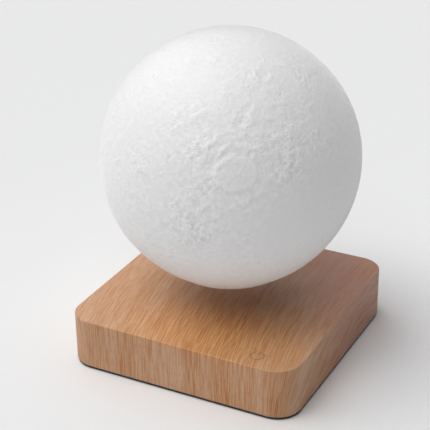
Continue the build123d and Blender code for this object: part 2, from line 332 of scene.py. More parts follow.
class Sketch:
    """Adds nodes to one tree, and links or sets their sockets by name or number.

    A Mix node has sockets of the same names for numbers, vectors and colours, so those for colours
    are named here by their numbers.
    """

    FIRST_COLOUR = 6
    SECOND_COLOUR = 7
    MIXED_COLOUR = 2

    def __init__(self, tree: bpy.types.NodeTree) -> None:
        """Keeps the tree to draw in."""
        self.tree = tree

    @classmethod
    def fresh(cls, owner: bpy.types.Material | bpy.types.World) -> "Sketch":
        """Empties the tree of a material or world.

        Args:
            owner: The material or world.

        Returns:
            A sketch to draw in that tree.
        """
        owner.use_nodes = True
        owner.node_tree.nodes.clear()
        return cls(owner.node_tree)

    def add(self, kind: str, inputs: dict | None = None, **settings: object) -> bpy.types.Node:
        """Adds one node.

        Args:
            kind: The node's type, without its ShaderNode prefix.
            inputs: Values or sockets for its inputs, by name or number.
            **settings: Values for its own properties.

        Returns:
            The node.
        """
        node = self.tree.nodes.new("ShaderNode" + kind)
        for name, value in settings.items():
            setattr(node, name, value)
        for name, value in (inputs or {}).items():
            self.feed(node.inputs[name], value)
        return node

    def feed(self, socket: bpy.types.NodeSocket, value: object) -> None:
        """Links a socket to an input, or sets the input's own value.

        Args:
            socket: The input.
            value: An output to link, or a plain value.
        """
        if isinstance(value, bpy.types.NodeSocket):
            self.tree.links.new(value, socket)
        else:
            socket.default_value = value

    def math(self, operation: str, *values: object) -> bpy.types.NodeSocket:
        """The result of one Math node."""
        return self.add("Math", dict(enumerate(values)), operation=operation).outputs[0]

    def span(
        self, value: object, low: object, high: object, to_low: object = 0.0, to_high: object = 1.0
    ) -> bpy.types.NodeSocket:
        """A value carried by a smooth step from one span to another."""
        inputs = {"Value": value, "From Min": low, "From Max": high, "To Min": to_low, "To Max": to_high}
        return self.add("MapRange", inputs, interpolation_type="SMOOTHSTEP").outputs[0]

    def blend(self, share: object, first: object, second: object) -> bpy.types.NodeSocket:
        """A mix of two colours.

        Args:
            share: The share of the second colour.
            first: A colour or a socket.
            second: A colour or a socket.

        Returns:
            The mixed colour.
        """
        node = self.add("Mix", {0: share}, data_type="RGBA")
        for number, value in ((self.FIRST_COLOUR, first), (self.SECOND_COLOUR, second)):
            self.feed(node.inputs[number], (*value, 1.0) if isinstance(value, tuple) else value)
        return node.outputs[self.MIXED_COLOUR]

    def noise(
        self, vector: object, scale: object, detail: float = 2.0, roughness: float = 0.5
    ) -> bpy.types.NodeSocket:
        """The value of one noise texture, about 0.5."""
        inputs = {"Vector": vector, "Scale": scale, "Detail": detail, "Roughness": roughness}
        return self.add("TexNoise", inputs).outputs[0]

    def bump(self, height: object, depth: float, normal: object = None) -> bpy.types.NodeSocket:
        """The normal of a surface with a relief.

        Args:
            height: Its height, from 0 to 1.
            depth: What a height of 1 stands for, in metres.
            normal: The normal that it changes, where that isn't the mesh's own.

        Returns:
            The new normal.
        """
        inputs = {"Height": height, "Distance": depth, "Strength": 1.0}
        if normal is not None:
            inputs["Normal"] = normal
        return self.add("Bump", inputs).outputs[0]

    def effect(self, tree: bpy.types.NodeTree, inputs: dict) -> bpy.types.Node:
        """Places a shared effect with its own values.

        Args:
            tree: The effect's node group.
            inputs: Values or sockets for its inputs, by name.

        Returns:
            The group's node.
        """
        node = self.add("Group", node_tree=tree)
        for name, value in inputs.items():
            self.feed(node.inputs[name], value)
        return node


def new_effect(
    name: str, inputs: dict[str, float | None], outputs: Sequence[str]
) -> tuple[Sketch, dict, dict]:
    """Starts a node group.

    Args:
        name: The group's name.
        inputs: Its inputs with their usual values, or None for a vector.
        outputs: Its outputs, each one number.

    Returns:
        The sketch to draw in, and the group's own input and output sockets by name.
    """
    tree = bpy.data.node_groups.new(name, "ShaderNodeTree")
    for key, value in inputs.items():
        kind = "NodeSocketVector" if value is None else "NodeSocketFloat"
        socket = tree.interface.new_socket(key, in_out="INPUT", socket_type=kind)
        if value is not None:
            socket.default_value = value
    for key in outputs:
        tree.interface.new_socket(key, in_out="OUTPUT", socket_type="NodeSocketFloat")
    given = tree.nodes.new("NodeGroupInput").outputs
    wanted = tree.nodes.new("NodeGroupOutput").inputs
    return Sketch(tree), {key: given[key] for key in inputs}, {key: wanted[key] for key in outputs}


@cache
def streaks_effect() -> bpy.types.NodeTree:
    """Long streaks along V of a flat pattern: noise squeezed across them and drawn out along them.

    They wander sideways by a slow noise. Coverage is the share of the surface that they take.

    Returns:
        The node group, with a mask that is 1 on a streak.
    """
    drift_across, drift_along = 60.0, 25.0
    edge_of_none, edge_fall = 0.78, 0.56
    usual = {
        "Vector": None, "Across": 0.001, "Along": 0.02, "Wander": 0.0005, "Coverage": 0.5, "Softness": 0.1,
        "Seed": 0.0,
    }
    sketch, given, wanted = new_effect("streaks", usual, ["Mask"])
    axes = sketch.add("SeparateXYZ", {0: given["Vector"]}).outputs
    slow_across = sketch.math("MULTIPLY", axes[0], drift_across)
    slow_along = sketch.math("MULTIPLY", axes[1], drift_along)
    slow = sketch.add("CombineXYZ", {0: slow_across, 1: slow_along, 2: given["Seed"]})
    drift = sketch.math("SUBTRACT", sketch.noise(slow.outputs[0], 1.0, 1.0), 0.5)
    across = sketch.math("ADD", axes[0], sketch.math("MULTIPLY", drift, given["Wander"]))
    squeezed = sketch.math("DIVIDE", across, given["Across"])
    drawn_out = sketch.math("DIVIDE", axes[1], given["Along"])
    stretched = sketch.add("CombineXYZ", {0: squeezed, 1: drawn_out, 2: given["Seed"]})
    value = sketch.noise(stretched.outputs[0], 1.0, 2.0)
    edge = sketch.math("SUBTRACT", edge_of_none, sketch.math("MULTIPLY", given["Coverage"], edge_fall))
    low = sketch.math("SUBTRACT", edge, given["Softness"])
    high = sketch.math("ADD", edge, given["Softness"])
    sketch.feed(wanted["Mask"], sketch.span(value, low, high))
    return sketch.tree


@cache
def speckle_effect() -> bpy.types.NodeTree:
    """The fine texture of a moulded or cast skin, and slow cloudy patches over it.

    Returns:
        The node group, with the height of the texture and a mask of the patches.
    """
    patch_low, patch_high = 0.3, 0.7
    usual = {"Vector": None, "Grain": 0.0004, "Patch": 0.02}
    sketch, given, wanted = new_effect("speckle", usual, ["Height", "Patches"])
    grain = sketch.noise(given["Vector"], sketch.math("DIVIDE", 1.0, given["Grain"]), 2.0)
    sketch.feed(wanted["Height"], grain)
    patches = sketch.noise(given["Vector"], sketch.math("DIVIDE", 1.0, given["Patch"]), 3.0)
    sketch.feed(wanted["Patches"], sketch.span(patches, patch_low, patch_high))
    return sketch.tree


@cache
def rings_effect() -> bpy.types.NodeTree:
    """Fine turning marks: rings about the Z axis, made uneven by noise.

    Returns:
        The node group, with the height of the marks.
    """
    sketch, given, wanted = new_effect("turning_marks", {"Vector": None, "Pitch": 0.0003}, ["Height"])
    axes = sketch.add("SeparateXYZ", {0: given["Vector"]})
    flat = sketch.add("CombineXYZ", {0: axes.outputs[0], 1: axes.outputs[1], 2: 0.0})
    radius = sketch.add("VectorMath", {0: flat.outputs[0]}, operation="LENGTH").outputs["Value"]
    ring = sketch.add("CombineXYZ", {0: sketch.math("DIVIDE", radius, given["Pitch"]), 1: 0.0, 2: 0.0})
    sketch.feed(wanted["Height"], sketch.noise(ring.outputs[0], 1.0, 2.0))
    return sketch.tree


@cache
def layers_effect() -> bpy.types.NodeTree:
    """The level layers of a printed skin, and the grain of its plastic.

    The layers are waves along Z. Their height swells and fades with a slow noise.

    Returns:
        The node group, with the height of the skin.
    """
    fade_scale, fade_low, fade_high = 90.0, 0.35, 0.65
    usual = {"Vector": None, "Layer": 0.0004, "Grain": 0.0008, "Share": 0.4}
    sketch, given, wanted = new_effect("print_layers", usual, ["Height"])
    axes = sketch.add("SeparateXYZ", {0: given["Vector"]})
    turns = sketch.math("MULTIPLY", sketch.math("DIVIDE", axes.outputs[2], given["Layer"]), FULL_TURN)
    wave = sketch.math("MULTIPLY_ADD", sketch.math("SINE", turns), 0.5, 0.5)
    fade = sketch.span(sketch.noise(given["Vector"], fade_scale, 1.0), fade_low, fade_high)
    grain = sketch.noise(given["Vector"], sketch.math("DIVIDE", 1.0, given["Grain"]), 3.0, 0.6)
    layers = sketch.math("MULTIPLY", sketch.math("MULTIPLY", wave, fade), given["Share"])
    sketch.feed(wanted["Height"], sketch.math("ADD", layers, grain))
    return sketch.tree


# Finishes


@dataclass(frozen=True)
class Finish:
    """One finish: a name, a colour and the gloss that is the same all over it.

    Attributes:
        name: The name of its material.
        colour: The linear base colour.
        roughness: The roughness of its gloss.
        metallic: 1 for a bare metal.
        coat: The weight of a clear coat.
        sheen: The weight of the soft glow of a powdery or milky skin, strongest at its outline.
    """

    name: str
    colour: Colour
    roughness: float = 0.5
    metallic: float = 0.0
    coat: float = 0.0
    sheen: float = 0.0

    def material(self) -> bpy.types.Material:
        """The material of this finish, made once.

        Returns:
            The material, with the finish's name.
        """
        found = bpy.data.materials.get(self.name + "_finish")
        if found is not None:
            return found
        material = bpy.data.materials.new(self.name + "_finish")
        sketch = Sketch.fresh(material)
        shader = sketch.add("BsdfPrincipled", {
            "Base Color": (*self.colour, 1.0), "Roughness": self.roughness, "Metallic": self.metallic,
            "Coat Weight": self.coat, "Sheen Weight": self.sheen,
        })
        self.dress(sketch, shader)
        sketch.add("OutputMaterial", {"Surface": shader.outputs[0]})
        return material

    def dress(self, sketch: Sketch, shader: bpy.types.Node) -> None:
        """Gives the shader its pattern; each finish has its own."""

    @staticmethod
    def places(sketch: Sketch) -> bpy.types.NodeSocket:
        """Object coordinates, in metres."""
        return sketch.add("TexCoord").outputs["Object"]


@dataclass(frozen=True)
class Moulded(Finish):
    """Moulded plastic, rubber, epoxy or ferrite: a fine skin texture with slow patches of tone.

    Attributes:
        grain: Size of the skin texture, in metres.
        depth: Height of the skin texture, in metres.
        variation: How much darker the patches are, as a share.
    """

    grain: float = 0.0005
    depth: float = 0.00001
    variation: float = 0.12

    def dress(self, sketch: Sketch, shader: bpy.types.Node) -> None:
        """Patches in the colour and the gloss, and the skin texture in the normal.

        Args:
            sketch: The material's tree.
            shader: Its shader.
        """
        skin = sketch.effect(speckle_effect(), {"Vector": self.places(sketch), "Grain": self.grain})
        darker = tuple(channel * (1 - self.variation) for channel in self.colour)
        sketch.feed(shader.inputs["Base Color"], sketch.blend(skin.outputs["Patches"], self.colour, darker))
        rougher = min(1.0, self.roughness * (1 + self.variation))
        gloss = sketch.span(skin.outputs["Patches"], 0.0, 1.0, self.roughness, rougher)
        sketch.feed(shader.inputs["Roughness"], gloss)
        sketch.feed(shader.inputs["Normal"], sketch.bump(skin.outputs["Height"], self.depth))


@dataclass(frozen=True)
class Metal(Finish):
    """Turned or plated metal, with fine marks and duller patches.

    Attributes:
        metallic: 1, for a bare metal.
        pitch: Width of the turning marks, in metres.
        depth: Height of the turning marks, in metres.
        patch: Size of the duller patches, in metres.
        dull_colour: Share of the colour that a duller patch keeps.
        dull_roughness: How much rougher a duller patch is.
    """

    metallic: float = 1.0
    pitch: float = 0.0002
    depth: float = 0.000004
    patch: float = 0.004
    dull_colour: float = 0.8
    dull_roughness: float = 0.12

    def dress(self, sketch: Sketch, shader: bpy.types.Node) -> None:
        """Duller patches in the colour and the gloss, and the turning marks in the normal.

        Args:
            sketch: The material's tree.
            shader: Its shader.
        """
        places = self.places(sketch)
        skin = sketch.effect(speckle_effect(), {"Vector": places, "Patch": self.patch})
        patches = skin.outputs["Patches"]
        duller = tuple(channel * self.dull_colour for channel in self.colour)
        sketch.feed(shader.inputs["Base Color"], sketch.blend(patches, self.colour, duller))
        gloss = sketch.span(patches, 0.0, 1.0, self.roughness, self.roughness + self.dull_roughness)
        sketch.feed(shader.inputs["Roughness"], gloss)
        marks = sketch.effect(rings_effect(), {"Vector": places, "Pitch": self.pitch})
        sketch.feed(shader.inputs["Normal"], sketch.bump(marks.outputs["Height"], self.depth))


@dataclass(frozen=True)
class PrintedPlastic(Finish):
    """The moon's plastic: matte white, with fine rough ground, level layers and grain, and a tone of
    painted shade and highlight.

    Attributes:
        painted_hollow_shade: The slightly darker tone of the hollows, painted shade.
        depth: Height of the finest ground, in metres.
        lump_shading: How much of the tone follows the fine ground's lumps, as painted shade in low lumps
            and painted highlight on high ones.
        paler: How much paler rough ground is, a painted lift against the shade of its bumps.
        lump: Size of the lumps, in metres.
        pit: Distance between pits, in metres.
        grit: Size of the grit, in metres.
        pit_share: Height of the ground round the pits, as a share of the lumps'.
        grit_share: The same of the grit on rough ground.
        plain_grit: The same of the grit on smooth ground.
        layer_depth: Height of the print's layers, in metres.
    """

    painted_hollow_shade: Colour = (0.86, 0.86, 0.868)
    depth: float = 0.00036
    lump_shading: float = 1.1
    paler: float = 0.08
    lump: float = 0.0019
    pit: float = 0.0026
    grit: float = 0.0011
    pit_share: float = 0.20
    grit_share: float = 0.25
    plain_grit: float = 0.12
    layer_depth: float = 0.00004

    def ground(
        self, sketch: Sketch, places: bpy.types.NodeSocket, rough: bpy.types.NodeSocket,
        lumps: bpy.types.NodeSocket,
    ) -> bpy.types.NodeSocket:
        """The height of the ground that is finer than the mesh: lumps, pits with rims, and grit.

        Lumps are a noise. Pits are the cells of a Voronoi pattern. Each has a floor in its middle,
        a slope up to a crest and a rim that falls off outside it, all as shares of the cell.

        Args:
            sketch: The material's tree.
            places: Object coordinates.
            rough: The roughness of the ground.
            lumps: The noise of the lumps.

        Returns:
            The height, of which a rough place has all and a smooth one only some grit.
        """
        floor, foot, crest, outside = 0.05, 0.22, 0.34, 0.55
        cells = sketch.add("TexVoronoi", {"Vector": places, "Scale": 1 / self.pit, "Randomness": 1.0})
        away = cells.outputs["Distance"]
        bowl = sketch.span(away, floor, crest)
        rim = sketch.math("SUBTRACT", sketch.span(away, foot, crest), sketch.span(away, crest, outside))
        pits = sketch.math("MULTIPLY_ADD", rim, 0.5, bowl)
        grit = sketch.noise(places, 1 / self.grit, 1.0, 0.5)
        ground = sketch.math("ADD", lumps, sketch.math("MULTIPLY", pits, self.pit_share))
        ground = sketch.math("MULTIPLY_ADD", grit, self.grit_share, ground)
        return sketch.math("MULTIPLY_ADD", ground, rough, sketch.math("MULTIPLY", grit, self.plain_grit))

    def dress(self, sketch: Sketch, shader: bpy.types.Node) -> None:
        """Painted shade and highlight in the tone, and the ground and layers in the normal.

        Args:
            sketch: The material's tree.
            shader: Its shader.
        """
        places = self.places(sketch)
        rough = sketch.add("Attribute", attribute_name="rough").outputs["Fac"]
        # Painted shade and highlight read from the shell: darker in hollows, paler on crests.
        painted_relief_shading = sketch.add("Attribute", attribute_name="painted_relief_shading").outputs["Fac"]
        lumps = sketch.noise(places, 1 / self.lump, 1.0, 0.5)
        # Painted shade in low lumps and painted highlight on high lumps of the fine ground.
        share = sketch.math("MULTIPLY", rough, self.lump_shading)
        lump_shading = sketch.math("MULTIPLY", sketch.math("SUBTRACT", lumps, 0.5), share)
        # Painted lift: rough ground is made paler against the shade of its bumps.
        level = sketch.math("MULTIPLY_ADD", rough, self.paler, painted_relief_shading)
        tone = sketch.span(sketch.math("ADD", level, lump_shading), 0.0, 1.0)
        sketch.feed(shader.inputs["Base Color"], sketch.blend(tone, self.painted_hollow_shade, self.colour))
        layers = sketch.effect(layers_effect(), {"Vector": places})
        skin = sketch.bump(layers.outputs["Height"], self.layer_depth)
        ground = self.ground(sketch, places, rough, lumps)
        sketch.feed(shader.inputs["Normal"], sketch.bump(ground, self.depth, skin))


@dataclass(frozen=True)
class Streaks:
    """One layer of streaks of the wood, with its sizes in metres.

    Attributes:
        across: Width of a streak.
        along: Length of a streak.
        wander: How far a streak strays sideways.
        coverage: Share of the surface that the streaks take.
        softness: Softness of their edges.
        seed: Place in the noise that they are read from.
    """

    across: float
    along: float
    wander: float
    coverage: float
    softness: float
    seed: float

    def mask(self, sketch: Sketch, grain: bpy.types.NodeSocket) -> bpy.types.NodeSocket:
        """A mask that is 1 on a streak.

        Args:
            sketch: The material's tree.
            grain: The grain map's coordinates.

        Returns:
            The mask.
        """
        values = {
            "Vector": grain, "Across": self.across, "Along": self.along, "Wander": self.wander,
            "Coverage": self.coverage, "Softness": self.softness, "Seed": self.seed,
        }
        return sketch.effect(streaks_effect(), values).outputs["Mask"]


@dataclass(frozen=True)
class GrainedWood(Finish):
    """Lacquered beech-like wood, with fine dark streaks along the grain.

    Attributes:
        dark: Colour of the dark streaks.
        pale: Colour of the palest bands.
        warm: Colour of the heart, an orange zone of the top.
        rosy_shade: Colour of the outer zone, towards the back right corner: partly the wood's own rosier
            tone, partly painted shade.
        depth: Depth of the pores, in metres.
        bands: Broad pale bands.
        strips: Narrow pale strips.
        lines: Fine dark lines.
        pores: Short dark pores.
        band_share: How pale a band is.
        strip_share: How pale a strip is.
        pore_share: How dark a pore is.
        side_line_share: How dark a line is on a side wall, off the bands.
        top_line_share: How dark a line is on the top, off the bands.
        band_line_share: How dark a line is on a band.
        heart_line_share: How much darker a line is in the heart.
        edge: Two depths under the top, between which the lines change from side wall to top.
        line_depth: Depth of a line, as a share of a pore's.
        line_roughness: How much rougher the lacquer is on a line.
        heart: Middle of the heart, at the height of the top, in metres.
        heart_reach: Half the heart's length along each axis, in metres.
        heart_fade: Where the heart starts to fade and where it ends, as shares of its reach.
        heart_share: How warm the heart is.
        gap_share: How dark the gaps between strips are in the heart.
        rosy_shade_fade: The sums of x and y at which the outer zone of rosier wood and painted shade starts
            and is whole, in metres.
        rosy_shade_share: How rosy and how darkly shaded the outer zone is painted.
    """

    dark: Colour = (0.43, 0.138, 0.036)
    pale: Colour = (0.64, 0.415, 0.285)
    warm: Colour = (0.79, 0.415, 0.150)
    rosy_shade: Colour = (0.37, 0.172, 0.135)
    depth: float = 0.00004
    bands: Streaks = Streaks(0.0110, 0.180, 0.0060, 0.50, 0.20, 3.0)
    strips: Streaks = Streaks(0.0019, 0.055, 0.0018, 0.50, 0.16, 7.0)
    lines: Streaks = Streaks(0.00072, 0.021, 0.0011, 0.46, 0.08, 11.0)
    pores: Streaks = Streaks(0.0005, 0.0040, 0.0006, 0.30, 0.06, 17.0)
    band_share: float = 0.45
    strip_share: float = 0.28
    pore_share: float = 0.42
    side_line_share: float = 0.82
    top_line_share: float = 0.54
    band_line_share: float = 0.36
    heart_line_share: float = 0.28
    edge: tuple[float, float] = (0.0012, 0.0004)
    line_depth: float = 0.5
    line_roughness: float = 0.1
    heart: tuple[float, float, float] = (0.012, -0.052, 0.0315)
    heart_reach: tuple[float, float, float] = (0.062, 0.042, 0.004)
    heart_fade: tuple[float, float] = (0.2, 1.1)
    heart_share: float = 0.75
    gap_share: float = 0.36
    rosy_shade_fade: tuple[float, float] = (0.01, 0.10)
    rosy_shade_share: float = 0.7

    def in_heart(self, sketch: Sketch) -> bpy.types.NodeSocket:
        """A mask of the heart: 1 in its middle, falling off to 0 over an oval.

        Args:
            sketch: The material's tree.

        Returns:
            The mask.
        """
        shares = {"Vector": self.places(sketch), "Location": self.heart, "Scale": self.heart_reach}
        centred = sketch.add("Mapping", shares, vector_type="TEXTURE")
        away = sketch.add("VectorMath", {0: centred.outputs[0]}, operation="LENGTH").outputs["Value"]
        return sketch.span(away, *self.heart_fade, 1.0, 0.0)

    def dress(self, sketch: Sketch, shader: bpy.types.Node) -> None:
        """Bands, streaks and pores laid over each other, all along V of the grain map.

        Args:
            sketch: The material's tree.
            shader: Its shader.
        """
        grain = sketch.add("UVMap", uv_map="grain").outputs[0]
        layers = (self.bands, self.strips, self.lines, self.pores)
        bands, strips, lines, pores = (streaks.mask(sketch, grain) for streaks in layers)
        heart = self.in_heart(sketch)
        pale_bands = sketch.math("MULTIPLY", bands, self.band_share)
        pale_strips = sketch.math("MULTIPLY", strips, self.strip_share)
        colour = sketch.blend(sketch.math("ADD", pale_bands, pale_strips), self.colour, self.pale)
        colour = sketch.blend(sketch.math("MULTIPLY", heart, self.heart_share), colour, self.warm)
        gaps = sketch.math("SUBTRACT", 1.0, strips)
        dark_gaps = sketch.math("MULTIPLY", gaps, sketch.math("MULTIPLY", heart, self.gap_share))
        colour = sketch.blend(dark_gaps, colour, self.dark)
        axes = sketch.add("SeparateXYZ", {0: self.places(sketch)}).outputs
        # Outer zone towards the back right corner: partly rosier wood, partly painted shade of that side.
        towards_corner = sketch.math("ADD", axes[0], axes[1])
        outer = sketch.span(towards_corner, *self.rosy_shade_fade, 0.0, self.rosy_shade_share)
        colour = sketch.blend(outer, colour, self.rosy_shade)
        low, high = (self.heart[2] - depth for depth in self.edge)
        off_bands = sketch.span(axes[2], low, high, self.side_line_share, self.top_line_share)
        strength = sketch.span(bands, 0.0, 1.0, off_bands, self.band_line_share)
        strength = sketch.math("MULTIPLY_ADD", heart, self.heart_line_share, strength)
        colour = sketch.blend(sketch.math("MULTIPLY", lines, strength), colour, self.dark)
        colour = sketch.blend(sketch.math("MULTIPLY", pores, self.pore_share), colour, self.dark)
        sketch.feed(shader.inputs["Base Color"], colour)
        gloss = sketch.span(lines, 0.0, 1.0, self.roughness, self.roughness + self.line_roughness)
        sketch.feed(shader.inputs["Roughness"], gloss)
        hollows = sketch.math("MAXIMUM", pores, sketch.math("MULTIPLY", lines, self.line_depth))
        height = sketch.math("SUBTRACT", 1.0, hollows)
        sketch.feed(shader.inputs["Normal"], sketch.bump(height, self.depth))


@dataclass(frozen=True)
class CircuitBoard(Finish):
    """Solder mask over copper: paler traces on a grid, and rows of tinned pads.

    Attributes:
        trace: Colour of the mask over a trace.
        pad: Colour of the tinned pads.
        pitch: Distance between traces, in metres.
        trace_reach: How far from its middle the noise may be on a trace.
        pad_radius: Radius of a pad, as a share of the distance between pads.
        pad_scatter: How far the pads stray from a grid, from 0 to 1.
        depth: Height of traces and pads, in metres.
    """

    trace: Colour = (0.03, 0.22, 0.09)
    pad: Colour = (0.70, 0.68, 0.62)
    pitch: float = 0.0025
    trace_reach: float = 0.03
    pad_radius: float = 0.16
    pad_scatter: float = 0.35
    depth: float = 0.00003

    def dress(self, sketch: Sketch, shader: bpy.types.Node) -> None:
        """Traces where a blocky noise crosses its middle, and pads at some points of a grid.

        The blocks of the noise are a quarter of the pitch wide, and its waves three times the
        pitch. The pads stand two pitches apart.

        Args:
            sketch: The material's tree.
            shader: Its shader.
        """
        places = self.places(sketch)
        blocks = sketch.add("VectorMath", {0: places, 1: (self.pitch / 4,) * 3}, operation="SNAP")
        waves = sketch.noise(blocks.outputs[0], 1 / (3 * self.pitch), 0.0)
        off_middle = sketch.math("ABSOLUTE", sketch.math("SUBTRACT", waves, 0.5))
        traces = sketch.math("LESS_THAN", off_middle, self.trace_reach)
        grid = {"Vector": places, "Scale": 1 / (2 * self.pitch), "Randomness": self.pad_scatter}
        cells = sketch.add("TexVoronoi", grid)
        pads = sketch.math("LESS_THAN", cells.outputs["Distance"], self.pad_radius)
        colour = sketch.blend(traces, self.colour, self.trace)
        sketch.feed(shader.inputs["Base Color"], sketch.blend(pads, colour, self.pad))
        sketch.feed(shader.inputs["Metallic"], pads)
        height = sketch.math("MAXIMUM", traces, pads)
        sketch.feed(shader.inputs["Normal"], sketch.bump(height, self.depth))


@dataclass(frozen=True)
class Winding(Finish):
    """Enamelled copper wire, wound in even turns.

    Attributes:
        metallic: 1, for a bare metal.
        wire: Width of one turn, in metres.
        patch: Size of the darker patches, in metres.
        dark_colour: Share of the colour that a darker patch keeps.
    """

    metallic: float = 1.0
    wire: float = 0.0005
    patch: float = 0.003
    dark_colour: float = 0.7

    def dress(self, sketch: Sketch, shader: bpy.types.Node) -> None:
        """Darker patches in the colour, and the turns in the normal, as waves along Z.

        Args:
            sketch: The material's tree.
            shader: Its shader.
        """
        places = self.places(sketch)
        axes = sketch.add("SeparateXYZ", {0: places})
        turns = sketch.math("SINE", sketch.math("MULTIPLY", axes.outputs[2], FULL_TURN / self.wire))
        skin = sketch.effect(speckle_effect(), {"Vector": places, "Patch": self.patch})
        darker = tuple(channel * self.dark_colour for channel in self.colour)
        colour = sketch.blend(skin.outputs["Patches"], self.colour, darker)
        sketch.feed(shader.inputs["Base Color"], colour)
        height = sketch.math("MULTIPLY_ADD", turns, 0.5, 0.5)
        sketch.feed(shader.inputs["Normal"], sketch.bump(height, self.wire / 4))


WOOD = GrainedWood("beech_wood", (0.512, 0.276, 0.118), roughness=0.45, coat=0.06)
BLACK_PLASTIC = Moulded("black_plastic", (0.022, 0.022, 0.024), roughness=0.45, depth=0.00002)
FOOT_RUBBER = Moulded("foot_rubber", (0.05, 0.05, 0.052), roughness=0.8, grain=0.0003, depth=0.00002)
SCREW_STEEL = Metal("screw_steel", (0.55, 0.55, 0.56), roughness=0.3)
CORE_STEEL = Metal("core_steel", (0.42, 0.42, 0.43), roughness=0.4)
NICKEL = Metal("nickel_plate", (0.72, 0.70, 0.66), roughness=0.15, depth=0.000002)
COPPER_FOIL = Metal("copper_foil", (0.78, 0.40, 0.24), roughness=0.35)
COPPER_WIRE = Winding("copper_wire", (0.58, 0.23, 0.09), roughness=0.3)
GREEN_BOARD = CircuitBoard("circuit_board", (0.012, 0.12, 0.045), roughness=0.3)
WHITE_BOARD = CircuitBoard("white_board", (0.80, 0.81, 0.79), roughness=0.35, trace=(0.72, 0.73, 0.71))
FERRITE = Moulded("ferrite", (0.05, 0.05, 0.055), roughness=0.65, grain=0.0006, depth=0.00003)
BLACK_EPOXY = Moulded("black_epoxy", (0.02, 0.02, 0.022), roughness=0.5, grain=0.0002)
SLEEVE = Moulded("capacitor_sleeve", (0.02, 0.03, 0.11), roughness=0.25, depth=0.000004)
MOON_PLASTIC = PrintedPlastic("moon_plastic", (0.98, 0.98, 0.985), roughness=0.55, sheen=0.6)
CAP_PLASTIC = Moulded("cap_plastic", (0.84, 0.84, 0.84), roughness=0.5, variation=0.04)
LED_RESIN = Moulded("led_resin", (0.85, 0.68, 0.18), roughness=0.25, grain=0.0003)
MARK_BROWN = Moulded("mark_brown", (0.25, 0.13, 0.065), roughness=0.5, variation=0.3)


# Pieces

SHARP_EDGE = 30.0


class Joining(Enum):
    """What a form does to a piece."""

    CUT = "DIFFERENCE"
    FUSE = "UNION"


def add_piece(
    name: str, form: Form, body: str, finish: Finish,
    stands_for: Sequence[str] = (), sharp: float = SHARP_EDGE,
) -> bpy.types.Object:
    """Puts a new piece into the scene.

    Args:
        name: Its name.
        form: Its shape.
        body: The CAD body that it rides on.
        finish: Its finish.
        stands_for: The CAD nodes that it replaces.
        sharp: The least angle of an edge that stays sharp, in degrees.

    Returns:
        The object.
    """
    mesh = form.mesh(name)
    mesh.shade_smooth()
    mesh.set_sharp_from_angle(angle=math.radians(sharp))
    mesh.materials.append(finish.material())
    piece = put(name, mesh)
    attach(piece, body)
    if stands_for:
        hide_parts(*stands_for)
    log.info("%s: %d points on %s", name, len(form.points), body)
    return piece


def carve(
    piece: bpy.types.Object, forms: Iterable[Form], joining: Joining = Joining.CUT,
    sharp: float = SHARP_EDGE,
) -> None:
    """Cuts forms out of a piece one after another, or fuses them with it.

    Args:
        piece: The piece to change.
        forms: The closed forms.
        joining: Whether they are cut out or fused.
        sharp: The least angle of an edge that stays sharp, in degrees.
    """
    for form in forms:
        tool = put("tool", form.mesh("tool"))
        cut = piece.modifiers.new("cut", "BOOLEAN")
        cut.operation, cut.solver, cut.object = joining.value, "EXACT", tool
        evaluated = piece.evaluated_get(bpy.context.evaluated_depsgraph_get())
        mesh = bpy.data.meshes.new_from_object(evaluated)
        piece.modifiers.clear()
        piece.data = mesh
        bpy.data.objects.remove(tool)
    piece.data.name = piece.name
    piece.data.shade_smooth()
    piece.data.set_sharp_from_angle(angle=math.radians(sharp))


@dataclass(frozen=True)
class Patch:
    """A round patch of the moon's ground.

    Attributes:
        latitude: Degrees over the equator.
        longitude: Degrees from +X towards +Y.
        reach: Distance in millimetres at which its strength has fallen to about a third.
        strength: Its strength at its middle.
    """

    latitude: float
    longitude: float
    reach: float
    strength: float = 1.0


@dataclass(frozen=True)
class Crater:
    """A round hollow in the moon.

    Attributes:
        latitude: Degrees over the equator.
        longitude: Degrees from +X towards +Y.
        radius: Radius of the rim's crest, in millimetres.
        depth: Depth of the floor, in millimetres; a raised plateau has a depth below zero.
        rim: Height of the rim, in millimetres.
        floor: Share of the radius that is flat.
    """

    latitude: float
    longitude: float
    radius: float
    depth: float
    rim: float
    floor: float = 0.0


@dataclass(frozen=True)
class Ridge:
    """A long narrow ridge on the moon, or a valley where its height is below zero.

    Attributes:
        start: Latitude and longitude of one end.
        end: Latitude and longitude of the other end.
        bow: How far its middle stands off the straight line to the left, in millimetres.
        height: Height of the crest, in millimetres.
        width: Distance in millimetres at which the height has fallen to about a third.
    """

    start: tuple[float, float]
    end: tuple[float, float]
    bow: float
    height: float
    width: float = 1.2


